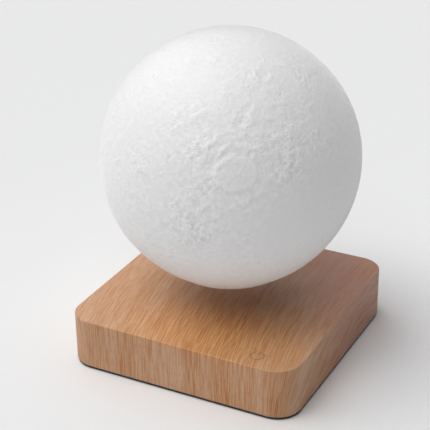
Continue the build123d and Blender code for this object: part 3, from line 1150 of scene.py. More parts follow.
@dataclass
class Moon:
    """The floating ball: shell, bottom cap and the cap's screws.

    Attributes:
        centre_height: Height of the ball's middle.
        radius: Radius that no part of the ball passes.
        skin: Radius of its mean surface.
        crown_cut: How far the very top stays below the radius.
        wall: Thickness of the shell.
        mouth_height: Height of the flat mouth.
        mouth_radius: Radius of the mouth's outer edge.
        recess_radius: Radius of the step that takes the cap.
        recess_depth: Depth of that step.
        lip_radius: Inner radius of the lip.
        lip_height: Height of the lip's inner face over the mouth.
        columns: Points round the ball.
        rows: Points from the mouth to the crown.
        inner_rows: Points from the lip to the crown, inside.
        seed: Seed of the relief.
        relief_shading_strength: How strongly the painted shade and highlight follow hollows and crests, per
            millimetre.
        plain_tone: The tone of level ground, from 0 for the painted shade to 1 for the full colour.
        basin: Latitude and longitude of the smooth oval plateau in the middle of the rough ground.
        basin_half_length: Half its length.
        basin_half_width: Half its width.
        basin_tilt: How far its length is turned up from east, in degrees.
        basin_rise: How far it stands up.
        basin_high_side: Direction of its highest edge, counted from its length, in degrees.
        craters: The craters that stand out.
        highlands: Patches of rough ground.
        seas: Patches of smooth ground.
        mounds: Small hills.
        ridges: The ridges and valleys that stand out.
        swell_height: Height of the slow swell of all ground.
        crag_height: Height of the crags on rough ground.
        lump_height: Height of the lumps on rough ground.
        ring_height: Height of the broken ridges round the basin.
        mound_height: Height of the small hills.
        small_craters: How many small craters are strewn over the ball.
        cap_radius: Radius of the cap.
        cup_radii: Inner and outer radius of the cap's cup for the magnet.
        cup_height: How far cup and posts stand up from the cap.
        post_place: Distance of the posts from the axis.
        post_radius: Radius of a post.
        pilot_radius: Radius of a screw's hole in a post or in the cap.
        pilot_depth: Depth of the hole in a post.
        screw_place: Distance of the cap's screws from the axis.
        seat_radius: Radius of the sinks for their heads.
        seat_depth: Depth of these sinks.
    """

    centre_height: float = 117.03
    radius: float = 75.0
    skin: float = 74.4
    crown_cut: float = 0.16
    wall: float = 1.8
    mouth_height: float = 50.7
    mouth_radius: float = 35.0
    recess_radius: float = 33.0
    recess_depth: float = 2.0
    lip_radius: float = 28.0
    lip_height: float = 5.0
    columns: int = 460
    rows: int = 190
    inner_rows: int = 12
    seed: int = 5
    relief_shading_strength: float = 2.6
    plain_tone: float = 0.37
    basin: tuple[float, float] = (17.0, -61.0)
    basin_half_length: float = 12.2
    basin_half_width: float = 9.8
    basin_tilt: float = 10.0
    basin_rise: float = 0.43
    basin_high_side: float = 245.0
    craters: tuple[Crater, ...] = (
        Crater(57.6, -38.0, 4.6, 0.16, 0.20, 0.2), Crater(1.5, -87.3, 1.7, 0.34, 0.12),
        Crater(-12.2, -74.7, 2.5, 0.30, 0.18, 0.1), Crater(38.2, -55.8, 3.8, 0.14, 0.08, 0.4),
        Crater(22.3, -78.8, 1.5, 0.26, 0.08), Crater(34.2, -92.3, 1.5, 0.26, 0.08),
        Crater(37.4, -56.9, 1.4, 0.24, 0.06), Crater(10.0, -100.6, 4.6, 0.14, 0.06, 0.5),
        Crater(24.8, -66.0, 1.3, 0.34, 0.06), Crater(25.1, -54.5, 1.7, 0.50, 0.10),
        Crater(22.4, -79.9, 2.0, 0.40, 0.08), Crater(11.2, -71.3, 1.5, 0.40, 0.10),
        Crater(10.3, -77.1, 1.7, 0.40, 0.10), Crater(10.7, -74.8, 1.3, 0.34, 0.10),
        Crater(30.8, -44.5, 1.5, 0.36, 0.08), Crater(31.5, -55.2, 1.4, 0.36, 0.08),
        Crater(41.1, -59.0, 1.5, 0.36, 0.08), Crater(21.6, -90.6, 1.7, 0.40, 0.08),
        Crater(22.0, 62.0, 9.0, 0.26, 0.09, 0.5), Crater(-12.0, 104.0, 5.2, 0.22, 0.07, 0.3),
        Crater(42.0, 140.0, 6.4, 0.24, 0.08, 0.4), Crater(-9.0, 163.0, 7.2, 0.24, 0.08, 0.4),
        Crater(-30.0, 30.0, 4.6, 0.22, 0.07, 0.3), Crater(60.0, 70.0, 5.0, 0.20, 0.07, 0.3),
    )
    highlands: tuple[Patch, ...] = (
        Patch(27.4, -54.5, 12.0, 0.35), Patch(32.4, -30.7, 12.0, 0.6), Patch(46.5, -54.1, 14.0, 0.3),
        Patch(27.8, -78.6, 13.0, 0.6), Patch(36.8, -88.8, 8.0, 0.3),
        Patch(-7.8, -79.9, 13.0, 2.4), Patch(4.4, -58.7, 6.0, 0.8), Patch(17.7, -38.7, 9.0, 1.4),
        Patch(14.2, -105.2, 7.0, 0.5), Patch(51.1, -5.5, 13.0, 0.4), Patch(6.1, -75.5, 7.0, 0.7),
        Patch(12.6, -69.5, 6.0, 0.8), Patch(24.0, -20.0, 7.0, 0.6), Patch(-22.0, -100.0, 12.0, 0.5),
        Patch(20.0, 25.0, 20.0, 0.8), Patch(-15.0, 65.0, 22.0, 0.8), Patch(30.0, 115.0, 24.0, 0.9),
        Patch(-20.0, 150.0, 22.0, 0.9), Patch(15.0, -160.0, 24.0, 0.9), Patch(-35.0, -150.0, 16.0, 0.7),
        Patch(60.0, 170.0, 18.0, 0.8),
    )
    seas: tuple[Patch, ...] = (
        Patch(-10.9, -33.4, 24.0, 0.85), Patch(-9.1, -61.5, 9.0, 0.1), Patch(-36.0, -55.0, 24.0, 0.3),
        Patch(6.5, -97.7, 6.0, 0.7), Patch(2.0, -12.0, 20.0), Patch(-30.0, 5.0, 20.0),
        Patch(8.0, 85.0, 18.0), Patch(-40.0, 110.0, 20.0), Patch(50.0, 60.0, 12.0),
    )
    mounds: tuple[Patch, ...] = (
        Patch(17.4, -69.8, 1.0), Patch(28.5, -19.9, 1.1), Patch(26.3, -27.0, 1.0), Patch(25.8, -24.5, 0.9),
        Patch(23.2, -31.7, 0.9), Patch(16.6, -43.6, 1.0), Patch(18.4, -33.8, 1.1), Patch(18.9, -32.0, 0.9),
        Patch(3.5, -62.3, 0.9), Patch(2.9, -60.5, 0.8), Patch(5.8, -58.8, 1.0), Patch(6.4, -57.0, 0.9),
        Patch(2.1, -55.6, 0.9), Patch(16.7, -67.5, 1.1), Patch(16.8, -70.0, 1.1),
    )
    ridges: tuple[Ridge, ...] = (
        Ridge((16.5, -70.6), (25.4, -58.8), 2.4, 0.20), Ridge((20.6, -70.2), (30.0, -62.1), 0.8, 0.29),
        Ridge((21.6, -73.4), (29.2, -65.2), 0.8, 0.22), Ridge((23.1, -78.0), (31.5, -67.2), 1.0, 0.29),
        Ridge((27.0, -80.0), (36.0, -71.0), 1.0, 0.17),
        Ridge((7.4, -53.5), (10.5, -48.0), 0.5, 0.30, 1.4),
        Ridge((-0.2, -78.9), (5.2, -71.9), -0.8, 0.24, 1.3),
        Ridge((29.0, -44.3), (30.7, -37.3), 0.4, 0.22, 1.3),
        Ridge((22.9, -54.7), (24.5, -52.1), 0.0, 0.30), Ridge((26.8, -53.8), (27.2, -47.3), 0.3, 0.22),
        Ridge((12.6, -45.5), (15.1, -37.3), 0.4, 0.17, 1.3),
        Ridge((28.0, -61.2), (28.2, -55.2), 0.3, 0.21),
        Ridge((47.7, -50.9), (34.4, -62.4), 0.8, -0.14, 1.5),
        Ridge((47.0, -47.0), (33.4, -59.0), 0.8, 0.13, 1.4),
        Ridge((38.0, -84.0), (43.5, -74.0), 0.6, 0.17, 1.4),
        Ridge((12.0, -84.0), (21.0, -84.5), 1.4, 0.17, 1.4),
        Ridge((3.0, -66.0), (6.5, -57.0), -0.8, 0.17, 1.3),
        Ridge((17.6, -68.5), (25.0, -61.5), 1.2, 0.10),
        Ridge((16.0, -66.8), (23.6, -59.4), 1.2, 0.10),
        Ridge((9.2, -65.0), (8.6, -55.5), -0.4, -0.16, 1.3),
    )
    swell_height: float = 0.08
    crag_height: float = 0.09
    lump_height: float = 0.09
    ring_height: float = 0.20
    mound_height: float = 0.34
    small_craters: int = 420
    cap_radius: float = 32.7
    cup_radii: tuple[float, float] = (19.3, 20.5)
    cup_height: float = 8.6
    post_place: float = 25.3
    post_radius: float = 2.0
    pilot_radius: float = 1.1
    pilot_depth: float = 5.4
    screw_place: float = 30.2
    seat_radius: float = 2.0
    seat_depth: float = 1.2

    @staticmethod
    def directions(latitude: np.ndarray | float, longitude: np.ndarray | float) -> np.ndarray:
        """Unit vectors: cos lat cos lon, cos lat sin lon, sin lat, with both angles in degrees."""
        lat, lon = np.radians(latitude), np.radians(longitude)
        return np.stack([np.cos(lat) * np.cos(lon), np.cos(lat) * np.sin(lon), np.sin(lat) + 0 * lon], -1)

    def distance(self, facing: np.ndarray, spot: Patch | Crater) -> np.ndarray:
        """Straight distance of each place from a patch or crater, in millimetres."""
        return np.linalg.norm(facing - self.directions(spot.latitude, spot.longitude), axis=1) * self.radius

    def roughness(self, facing: np.ndarray) -> np.ndarray:
        """How rough the ground is, from 0 in a sea to 1 and more in the highlands.

        Highlands and seas are bell curves about their middles. The basin is a little smoother, and
        noise pushes the shores to and fro.

        Args:
            facing: Unit vectors from the middle of the ball.

        Returns:
            The roughness at each of them.
        """
        plain, sea_calm, basin_calm, most = 0.62, 0.95, 0.15, 3.0
        shore_share, shore_cell, edge_fade = 0.45, 9.0, 5
        shore = LatticeNoise(self.seed + 1).octaves(facing * self.radius, shore_cell, 3, 0.6)
        rough = np.full(len(facing), plain)
        for patch in self.highlands:
            rough += patch.strength * np.exp(-((self.distance(facing, patch) / patch.reach) ** 2))
        for patch in self.seas:
            fall = np.exp(-((self.distance(facing, patch) / patch.reach) ** 4))
            rough *= 1 - sea_calm * patch.strength * fall
        away, _ = self.around_basin(facing)
        rough *= 1 - basin_calm * np.clip((1.0 - away) * edge_fade, 0, 1)
        return np.clip(rough * (1 + shore_share * shore), 0, most)

    def around_basin(self, facing: np.ndarray) -> tuple[np.ndarray, np.ndarray]:
        """The place of each point as seen from the basin.

        Its offset is split along the basin's length and width, each counted in half lengths. The
        share is the root of the sum of their squares, and is 1 on the oval. Points of the ball's
        other half get a large share.

        Args:
            facing: Unit vectors from the middle of the ball.

        Returns:
            The share, and the direction counted from the basin's length, in radians.
        """
        far_side = 9.0
        middle = self.directions(*self.basin)
        east = np.cross([0.0, 0.0, 1.0], middle)
        east /= np.linalg.norm(east)
        north = np.cross(middle, east)
        tilt = math.radians(self.basin_tilt)
        length_way = math.cos(tilt) * east + math.sin(tilt) * north
        width_way = math.cos(tilt) * north - math.sin(tilt) * east
        along = facing @ length_way * self.radius / self.basin_half_length
        across = facing @ width_way * self.radius / self.basin_half_width
        share = np.hypot(along, across)
        return np.where(facing @ middle > 0, share, far_side), np.arctan2(across, along)

    def rings(self, facing: np.ndarray) -> np.ndarray:
        """Broken ridges that run round the basin, strongest a little outside it on the upper left.

        Noise is read at the distance from the basin and at the direction round it, so that it is
        drawn out along the ovals. The ridge's crest is where the noise crosses zero.

        Args:
            facing: Unit vectors from the middle of the ball.

        Returns:
            How high they stand at each of them, as a share of their full height.
        """
        spacing, stretch, band_middle, band_reach = 0.24, 1.2, 1.6, 0.5
        crest_level, weakest, strongest_way = 0.8, 0.1, math.radians(140)
        away, turn = self.around_basin(facing)
        polar = np.column_stack([away / spacing, stretch * np.cos(turn), stretch * np.sin(turn)])
        crest = crest_level - 2 * np.abs(LatticeNoise(self.seed + 3).octaves(polar, 1.0, 2, 0.5))
        band = np.exp(-(((away - band_middle) / band_reach) ** 2))
        side = 0.5 + 0.5 * np.cos(turn - strongest_way)
        return band * np.clip(side, weakest, 1) * crest

    def raise_ridge(self, height: np.ndarray, facing: np.ndarray, ridge: Ridge, wobble: np.ndarray) -> None:
        """Adds one ridge to the heights.

        The crest follows the straight line between the ends, moved sideways by a parabola, and
        fades towards both ends. Across it the height is a bell curve. Places that face away from the
        ridge stay as they are.

        Args:
            height: The heights, which are changed.
            facing: Unit vectors from the middle of the ball.
            ridge: The ridge.
            wobble: A noise that makes its course uneven.
        """
        unevenness, end_fade, near_side = 0.6, 6, 0.5
        start, end = self.directions(*ridge.start), self.directions(*ridge.end)
        chord = end - start
        offset = facing - start
        share = offset @ chord / (chord @ chord)
        sideways = np.cross((start + end) / 2, chord)
        sideways /= np.linalg.norm(sideways)
        bow = ridge.bow * 4 * share * (1 - share)
        aside = offset @ sideways * self.radius - bow + unevenness * wobble
        reach = np.clip(share * (1 - share) * end_fade, 0, 1) * (facing @ start > near_side)
        height += ridge.height * reach * np.exp(-((aside / ridge.width) ** 2))

    def dig(self, height: np.ndarray, facing: np.ndarray, crater: Crater, wobble: np.ndarray) -> None:
        """Presses one crater into the heights.

        Inside, the wall rises from a flat floor as a smooth step of the share of the radius. The rim
        is a bell curve about the crest.

        Args:
            height: The heights, which are changed.
            facing: Unit vectors from the middle of the ball.
            crater: The crater.
            wobble: A noise that makes its outline uneven.
        """
        farthest, unevenness, rim_reach = 2.0, 0.16, 0.2
        away = self.distance(facing, crater) / crater.radius
        near = np.flatnonzero(away < farthest)
        share = away[near] * (1 + unevenness * wobble[near])
        wall = np.clip((share - crater.floor) / (1 - crater.floor), 0, 1)
        bowl = -crater.depth * (1 - wall * wall * (3 - 2 * wall))
        rim = crater.rim * (1 + wobble[near]) * np.exp(-(((share - 1) / rim_reach) ** 2))
        height[near] += bowl + rim

    def strew(self, height: np.ndarray, facing: np.ndarray, rough: np.ndarray, wobble: np.ndarray) -> None:
        """Digs the small craters at random, deeper where the ground is rough and where they are wide.

        The radius is the smallest one times a random share to a power below zero, so that many are
        narrow and few are wide.

        Args:
            height: The heights, which are changed.
            facing: Unit vectors from the middle of the ball.
            rough: The roughness of the ground.
            wobble: A noise that makes their outlines uneven.
        """
        draw = np.random.default_rng(self.seed)
        count = self.small_craters
        lowest, smallest, largest, least_share, radius_power = -0.88, 1.6, 4.6, 0.02, -0.33
        plain_depth, rough_depth, depth_power, rim_share, floor = 0.03, 0.035, 0.6, 0.45, 0.2
        sine, turn = draw.uniform(lowest, 1, count), draw.uniform(-180, 180, count)
        radius = np.minimum(smallest * draw.uniform(least_share, 1, count) ** radius_power, largest)
        for i in range(count):
            latitude = float(np.degrees(np.arcsin(sine[i])))
            ground = rough[np.argmax(facing @ self.directions(latitude, turn[i]))]
            depth = (plain_depth + rough_depth * ground) * radius[i] ** depth_power
            crater = Crater(latitude, turn[i], radius[i], depth, rim_share * depth, floor)
            self.dig(height, facing, crater, wobble)

    def raise_basin(self, height: np.ndarray, facing: np.ndarray, wobble: np.ndarray) -> None:
        """Smooths the ground of the basin, and lifts it as a plateau that is tilted a little.

        Args:
            height: The heights, which are changed.
            facing: Unit vectors from the middle of the ball.
            wobble: A noise that makes its outline uneven.
        """
        smoothing, edge_fade, unevenness, edge, slope, tilt = 0.85, 6, 0.09, 1.06, 0.2, 0.25
        away, turn = self.around_basin(facing)
        away = away * (1 + unevenness * wobble)
        height *= 1 - smoothing * np.clip((1.0 - away) * edge_fade, 0, 1)
        step = np.clip((edge - away) / slope, 0, 1)
        tilted = 1 + tilt * np.clip(away, 0, 1) * np.cos(turn - math.radians(self.basin_high_side))
        height += self.basin_rise * tilted * step * step * (3 - 2 * step)

    def heights(self, facing: np.ndarray, rough: np.ndarray) -> np.ndarray:
        """The relief in millimetres: rough ground, rings, craters, the basin, ridges and small hills.

        Each noise is read at its own shift, so that none follows another. The crest of a crag is
        where its noise crosses zero.

        Args:
            facing: Unit vectors from the middle of the ball.
            rough: The roughness of the ground at each of them.

        Returns:
            Heights over the mean skin, held between half the wall's thickness and the outer radius.
        """
        wobble_shift, crag_shift, lump_shift = 20.0, 40.0, 90.0
        wobble_cell, swell_cell, crag_cell, lump_cell, crag_level = 5.0, 17.0, 6.0, 3.1, 0.7
        spots = facing * self.radius
        noise = LatticeNoise(self.seed + 2)
        wobble = noise.octaves(spots + wobble_shift, wobble_cell, 2, 0.6)
        height = self.swell_height * noise.octaves(spots, swell_cell, 2, 0.5)
        crags = crag_level - 2 * np.abs(noise.octaves(spots + crag_shift, crag_cell, 2, 0.6))
        height += self.crag_height * rough * crags
        height += self.lump_height * rough * noise.octaves(spots + lump_shift, lump_cell, 1, 0.5)
        height += self.ring_height * self.rings(facing)
        self.strew(height, facing, rough, wobble)
        for crater in self.craters:
            self.dig(height, facing, crater, wobble)
        self.raise_basin(height, facing, wobble)
        for ridge in self.ridges:
            self.raise_ridge(height, facing, ridge, wobble)
        for mound in self.mounds:
            away = self.distance(facing, mound)
            height += self.mound_height * np.exp(-((away / mound.reach) ** 2))
        return np.clip(height, -0.5 * self.wall, self.radius - self.skin)

    def inside(self, facing: np.ndarray) -> np.ndarray:
        """The rings of the mouth's edge, the recess, the lip and the plain inner wall.

        Args:
            facing: Unit vectors of one level, which give the ring's directions.

        Returns:
            Points by level, place around and axis, about the middle of the ball.
        """
        drop = self.mouth_height - self.centre_height
        inner = self.radius - self.wall
        lip_top = drop + self.lip_height
        step = drop + self.recess_depth
        flank, ease = 0.5, 0.3
        edge = np.array([
            (self.mouth_radius - flank, drop), (self.recess_radius + ease, drop),
            (self.recess_radius, drop + ease), (self.recess_radius, step), (self.lip_radius, step),
            (self.lip_radius, lip_top),
        ])
        start = math.degrees(math.asin(lip_top / inner))
        rise = np.radians(np.linspace(start, 90, self.inner_rows + 1)[:-1])
        hollow = inner * np.column_stack([np.cos(rise), np.sin(rise)])
        ring = facing / np.linalg.norm(facing[:, :2], axis=1)[:, None] * np.array([1, 1, 0])
        return swept(np.vstack([edge, hollow]), ring)

    def shell(self) -> bpy.types.Object:
        """The printed shell: relief outside, a lip in the mouth and a plain inner wall.

        The relief fades out in the last degrees above the mouth. The tone of the colour follows how
        far a point stands over the mean of its neighbours, as painted shade in hollows and painted
        highlight on crests, less so near the crown and on the outline of the basin.

        Returns:
            The piece.
        """
        relief_fade, crown_fade, outline_fade, least_tone, sharp = 2.0, 8, 5, 0.5, 50.0
        drop = self.mouth_height - self.centre_height
        crown = self.radius - self.crown_cut
        mouth_latitude = math.degrees(math.asin(drop / self.radius))
        latitude = np.linspace(mouth_latitude, 90, self.rows + 1)[:-1, None]
        longitude = (np.arange(self.columns) * 360 / self.columns)[None, :]
        facing = self.directions(latitude, longitude)
        rough = self.roughness(facing.reshape(-1, 3))
        height = self.heights(facing.reshape(-1, 3), rough).reshape(facing.shape[:2])
        settle = np.clip((latitude - mouth_latitude) / relief_fade, 0, 1)
        reach = (self.radius - (self.radius - self.skin - height) * settle)[..., None]
        outside = facing * reach
        outside[..., 2] = np.clip(outside[..., 2], drop, crown)
        rings = np.concatenate([outside[::-1], self.inside(facing[0])])
        tips = np.array([[0, 0, crown], [0, 0, self.radius - self.wall]])
        form = Form.through(rings, tips).at(0, 0, self.centre_height)
        piece = add_piece("moon_shell", form, "moon", MOON_PLASTIC, ["moon_shade"], sharp)

        # Painted shade and highlight: a point under the mean of its neighbours gets a darker tone, one over
        # it a paler tone.
        around = sum(np.roll(height, step, axis) for step, axis in product((-2, 2), (0, 1))) / 4
        off_outline = np.abs(self.around_basin(facing.reshape(-1, 3))[0] - 1).reshape(height.shape)
        strength = self.relief_shading_strength * np.clip((90 - latitude) / crown_fade, 0, 1)
        strength = strength * np.clip(off_outline * outline_fade, least_tone, 1)
        painted_relief_shading = self.plain_tone + strength * (height - around)
        for name, values in (("painted_relief_shading", painted_relief_shading), ("rough", rough.reshape(height.shape))):
            spread = np.zeros(len(form.points), np.float32)
            spread[:height.size] = values[::-1].ravel()
            piece.data.attributes.new(name, "FLOAT", "POINT").data.foreach_set("value", spread)
        return piece

    def cap(self) -> bpy.types.Object:
        """The disc in the mouth, with its eased edge, the cup, three posts and three sunk screw holes.

        Returns:
            The piece.
        """
        low, high = self.mouth_height, self.mouth_height + self.recess_depth
        cup_top = high + self.cup_height
        inner, outer = self.cup_radii
        corners = [
            (0, low), (self.cap_radius, low), (self.cap_radius, high), (outer, high), (outer, cup_top),
            (inner, cup_top), (inner, high), (0, high),
        ]
        disc = Form.turned(eased(corners, [0.5, 0.2, 0.05, 0.2, 0.2, 0.05], 4), 128)
        piece = add_piece("moon_cap", disc, "moon", CAP_PLASTIC, ["bottom_cap"])
        posts = round_places(self.post_place, 3, 0, 30)
        overlap = 0.4
        post = Form.bar(circle(self.post_radius, 24), high - overlap, cup_top)
        carve(piece, [post.placed(place) for place in posts], Joining.FUSE)
        pilot = Form.bar(circle(self.pilot_radius, 20), cup_top - self.pilot_depth, cup_top + 1)
        carve(piece, [pilot.placed(place) for place in posts])
        hole = Form.bar(circle(self.pilot_radius, 20), low - 1, high + 1)
        sink = Form.bar(circle(self.seat_radius, 32), low - 1, low + self.seat_depth)
        for place in round_places(self.screw_place, 3, 0, 90):
            carve(piece, [hole.placed(place), sink.placed(place)])
        return piece

    def screws(self) -> bpy.types.Object:
        """The cap's three screws.

        Returns:
            The piece.
        """
        screw = Screw(shank=1.0, length=3.4, head=1.9, head_height=1.0)
        places = round_places(self.screw_place, 3, self.mouth_height + self.seat_depth, 90)
        return screw.group("cap_screws_crossed", places, "moon", ["cap_screws"])

    def build(self) -> list[bpy.types.Object]:
        """The whole moon."""
        return [self.shell(), self.cap(), self.screws()]


@dataclass(frozen=True)
class Screw:
    """A screw that points up, with the seat of its head at z = 0 and a crossed slot under it.

    Attributes:
        shank: Radius of the shank.
        length: Length of the shank.
        head: Radius of the head.
        head_height: Height of the head.
    """

    shank: float
    length: float
    head: float
    head_height: float

    def form(self) -> Form:
        """The screw's shape: a softly domed head, and a shank whose thread is a row of ridges.

        Returns:
            The closed form.
        """
        pitch_share, root_share, tip_share, shoulder_share = 0.4, 0.82, 0.55, 0.92
        pitch = self.shank * pitch_share
        turns = int(self.length / pitch) - 1
        thread = [
            (self.shank * (root_share if i % 2 else 1.0), i * pitch / 2) for i in range(1, 2 * turns)
        ]
        shoulder = self.head_height * shoulder_share
        corners = [(0, -self.head_height), (self.head, -shoulder), (self.head, 0), (self.shank, 0)]
        head = eased(corners, [self.head_height * 0.45, self.head_height * 0.1], 4)
        tip = [(self.shank * tip_share, self.length), (0, self.length)]
        return Form.turned(np.vstack([head, thread, tip]), 28)

    def group(
        self, name: str, places: Sequence[Matrix], body: str, stands_for: Sequence[str]
    ) -> bpy.types.Object:
        """Screws at several places as one piece, each slot turned its own way.

        Args:
            name: The name of the piece.
            places: Where the seats of the heads are, in millimetres.
            body: The CAD body that the piece rides on.
            stands_for: The CAD nodes that it replaces.

        Returns:
            The piece.
        """
        slot_length, slot_width, slot_depth = 1.15, 0.24, 0.6
        first_turn, next_turn = 0.3, 1.1
        piece = add_piece(name, self.form(), body, SCREW_STEEL, stands_for)
        cross = cross_outline(self.head * slot_length, self.head * slot_width)
        carve(piece, [Form.bar(cross, -self.head_height - 1, -self.head_height * (1 - slot_depth))])
        meshes = []
        for number, place in enumerate(places):
            copy = piece.data.copy()
            turn = Matrix.Rotation(number * next_turn + first_turn, 4, "Z")
            spot = place.copy()
            spot.translation *= MILLIMETRE
            copy.transform(spot @ turn)
            meshes.append(copy)
        piece.data = merged(meshes, name)
        return piece


def merged(meshes: Sequence[bpy.types.Mesh], name: str) -> bpy.types.Mesh:
    """Several meshes of one material as one, as they are placed.

    Args:
        meshes: The meshes to merge, which are then removed.
        name: The name of the new mesh.

    Returns:
        The new mesh, with smooth faces and the sharp edges of the old ones.
    """
    objects = [put("part", mesh) for mesh in meshes]
    with bpy.context.temp_override(
        active_object=objects[0], selected_objects=objects, selected_editable_objects=objects
    ):
        bpy.ops.object.join()
    mesh = objects[0].data
    bpy.data.objects.remove(objects[0])
    mesh.name = name
    return mesh


@dataclass
class Base:
    """The base: wooden block, touch mark, black cover, feet and the cover's screws.

    Attributes:
        half: Half the width of the wood.
        corner: Radius of its upright corners.
        wood_low: Height of the wood's lower edge.
        wood_high: Height of the top.
        pocket_half: Half the width of the pocket milled into it.
        pocket_cut: Length cut off the pocket's corners.
        pocket_high: Height of the pocket's ceiling.
        top_ease: Radius of the top edge.
        low_ease: Radius of the lower edge.
        inlet_radius: Radius of the hole for the power plug.
        inlet_height: Height of its axis.
        lip_inset: How far the black cover stands back from the wood.
        lip_low: Height of the cover's underside.
        spigot_high: Height of the cover's upper face, inside the pocket.
        foot_place: Distance of the feet from the middle, in x and y.
        screw_place: Distance of the cover's screws from the middle, in x and y.
        hole_radius: Radius of these screws' holes, in the cover and in the wood.
        pilot_high: Height to which the holes in the wood go.
        seat_radius: Radius of the sinks for their heads.
        seat_depth: Depth of these sinks.
        spigot_gap: Gap between the cover's upper part and the pocket.
        standoff_radius: Radius of the board's standoffs, which stand over the feet.
        standoff_height: Height of the standoffs.
        board_pilot_radius: Radius of the screw's hole in a standoff.
        foot_recess_radius: Radius of the recesses for the feet.
        foot_recess_depth: Depth of these recesses.
        touch: Place of the touch mark, and of the touch pad's recess in the wood.
        recess_radius: Radius of that recess.
        side_share: How fast the figure runs on down the sides, as a share of its rate on top.
        lean_share: How far the streaks lean from +Y, as a share.
        bow: How strongly they bow, per millimetre.
        fan: How strongly they fan out, per millimetre.
        sharp: The least angle of an edge that stays sharp, in degrees.
    """

    half: float = 71.5
    corner: float = 15.0
    wood_low: float = 1.4
    wood_high: float = 31.5
    pocket_half: float = 63.5
    pocket_cut: float = 22.0
    pocket_high: float = 28.0
    top_ease: float = 0.55
    low_ease: float = 1.0
    inlet_radius: float = 5.5
    inlet_height: float = 16.0
    lip_inset: float = 0.4
    lip_low: float = 0.5
    spigot_high: float = 2.9
    foot_place: float = 48.0
    screw_place: float = 58.0
    hole_radius: float = 1.6
    pilot_high: float = 13.95
    seat_radius: float = 2.9
    seat_depth: float = 0.45
    spigot_gap: float = 0.3
    standoff_radius: float = 3.0
    standoff_height: float = 6.0
    board_pilot_radius: float = 1.1
    foot_recess_radius: float = 5.1
    foot_recess_depth: float = 1.0
    touch: tuple[float, float] = (46.3, -60.5)
    recess_radius: float = 7.5
    side_share: float = 0.4
    lean_share: float = 0.10
    bow: float = 0.0011
    fan: float = 0.0002
    sharp: float = 40.0

    def angles(self) -> np.ndarray:
        """Polar angles round the block, close at the round corners and through the pocket's corners.

        Returns:
            The angles from 0 to a full turn, in radians, each once.
        """
        middle = self.half - self.corner
        arc_points, side_points, digits = 14, 20, 9
        turn = np.linspace(0, math.pi / 2, arc_points)
        arc = np.arctan2(middle + self.corner * np.sin(turn), middle + self.corner * np.cos(turn))
        cut = math.atan2(self.pocket_half - self.pocket_cut, self.pocket_half)
        side = np.linspace(-arc[0], arc[0], side_points + 2)[1:-1]
        quarter = np.round(np.concatenate([side, arc, [cut, math.pi / 2 - cut]]), digits)
        whole = np.concatenate([quarter + i * math.pi / 2 for i in range(4)])
        return np.unique(np.round(whole % FULL_TURN, digits))

    @staticmethod
    def rounded_square(angle: np.ndarray, half: float, corner: float) -> np.ndarray:
        """The outline of a square with round corners, at polar angles.

        On a side the distance is half over the larger of |cos| and |sin|. At a corner it is the far
        crossing of the ray with the corner's circle.

        Args:
            angle: The polar angles.
            half: Half the width of the square.
            corner: Radius of the corners.

        Returns:
            Rows of points.
        """
        ray = np.abs(np.column_stack([np.cos(angle), np.sin(angle)]))
        flat = half / ray.max(1)
        middle = half - corner
        along = middle * ray.sum(1)
        bend = along + np.sqrt(np.maximum(along**2 - 2 * middle**2 + corner**2, 0))
        reach = np.where(flat * ray.min(1) <= middle, flat, bend)
        return reach[:, None] * np.column_stack([np.cos(angle), np.sin(angle)])

    @staticmethod
    def cut_square(angle: np.ndarray, half: float, cut: float) -> np.ndarray:
        """The outline of a square with its corners cut off, at polar angles.

        Args:
            angle: The polar angles.
            half: Half the width of the square.
            cut: Length cut off each corner, along a side.

        Returns:
            Rows of points.
        """
        ray = np.abs(np.column_stack([np.cos(angle), np.sin(angle)]))
        reach = np.minimum(half / ray.max(1), (2 * half - cut) / ray.sum(1))
        return reach[:, None] * np.column_stack([np.cos(angle), np.sin(angle)])

    def eased_ring(self, angle: np.ndarray, inset: float, height: float) -> np.ndarray:
        """The block's outline drawn in by an inset, at one height."""
        return level(self.rounded_square(angle, self.half - inset, self.corner - inset), height)

    def grain_map(self, points: np.ndarray) -> np.ndarray:
        """The grain's own map: the top as it lies, with the walls folded down round it.

        A point that lies d below the top is carried d outwards, square to the nearest wall, or a
        share of d on the sides, where the figure of the wood is wider. So the streaks of the top run
        on straight down the front, and along the sides. On the top they lean and bow gently: U grows
        by a share of y, and falls with the square of y and with x times y.

        Args:
            points: Rows of points.

        Returns:
            Rows of U and V, in metres.
        """
        middle = self.half - self.corner
        beyond = points[:, :2] - np.clip(points[:, :2], -middle, middle)
        length = np.linalg.norm(beyond, axis=1, keepdims=True)
        least = 1e-6
        outwards = np.divide(beyond, length, out=np.zeros_like(beyond), where=length > least)
        down = self.wood_high - points[:, 2]
        x, y = points[:, :2].T
        u = x + self.side_share * outwards[:, 0] * down
        v = y + outwards[:, 1] * down
        bowed = u + self.lean_share * y - self.bow * y**2 - self.fan * x * y
        return np.column_stack([bowed, v]) * MILLIMETRE

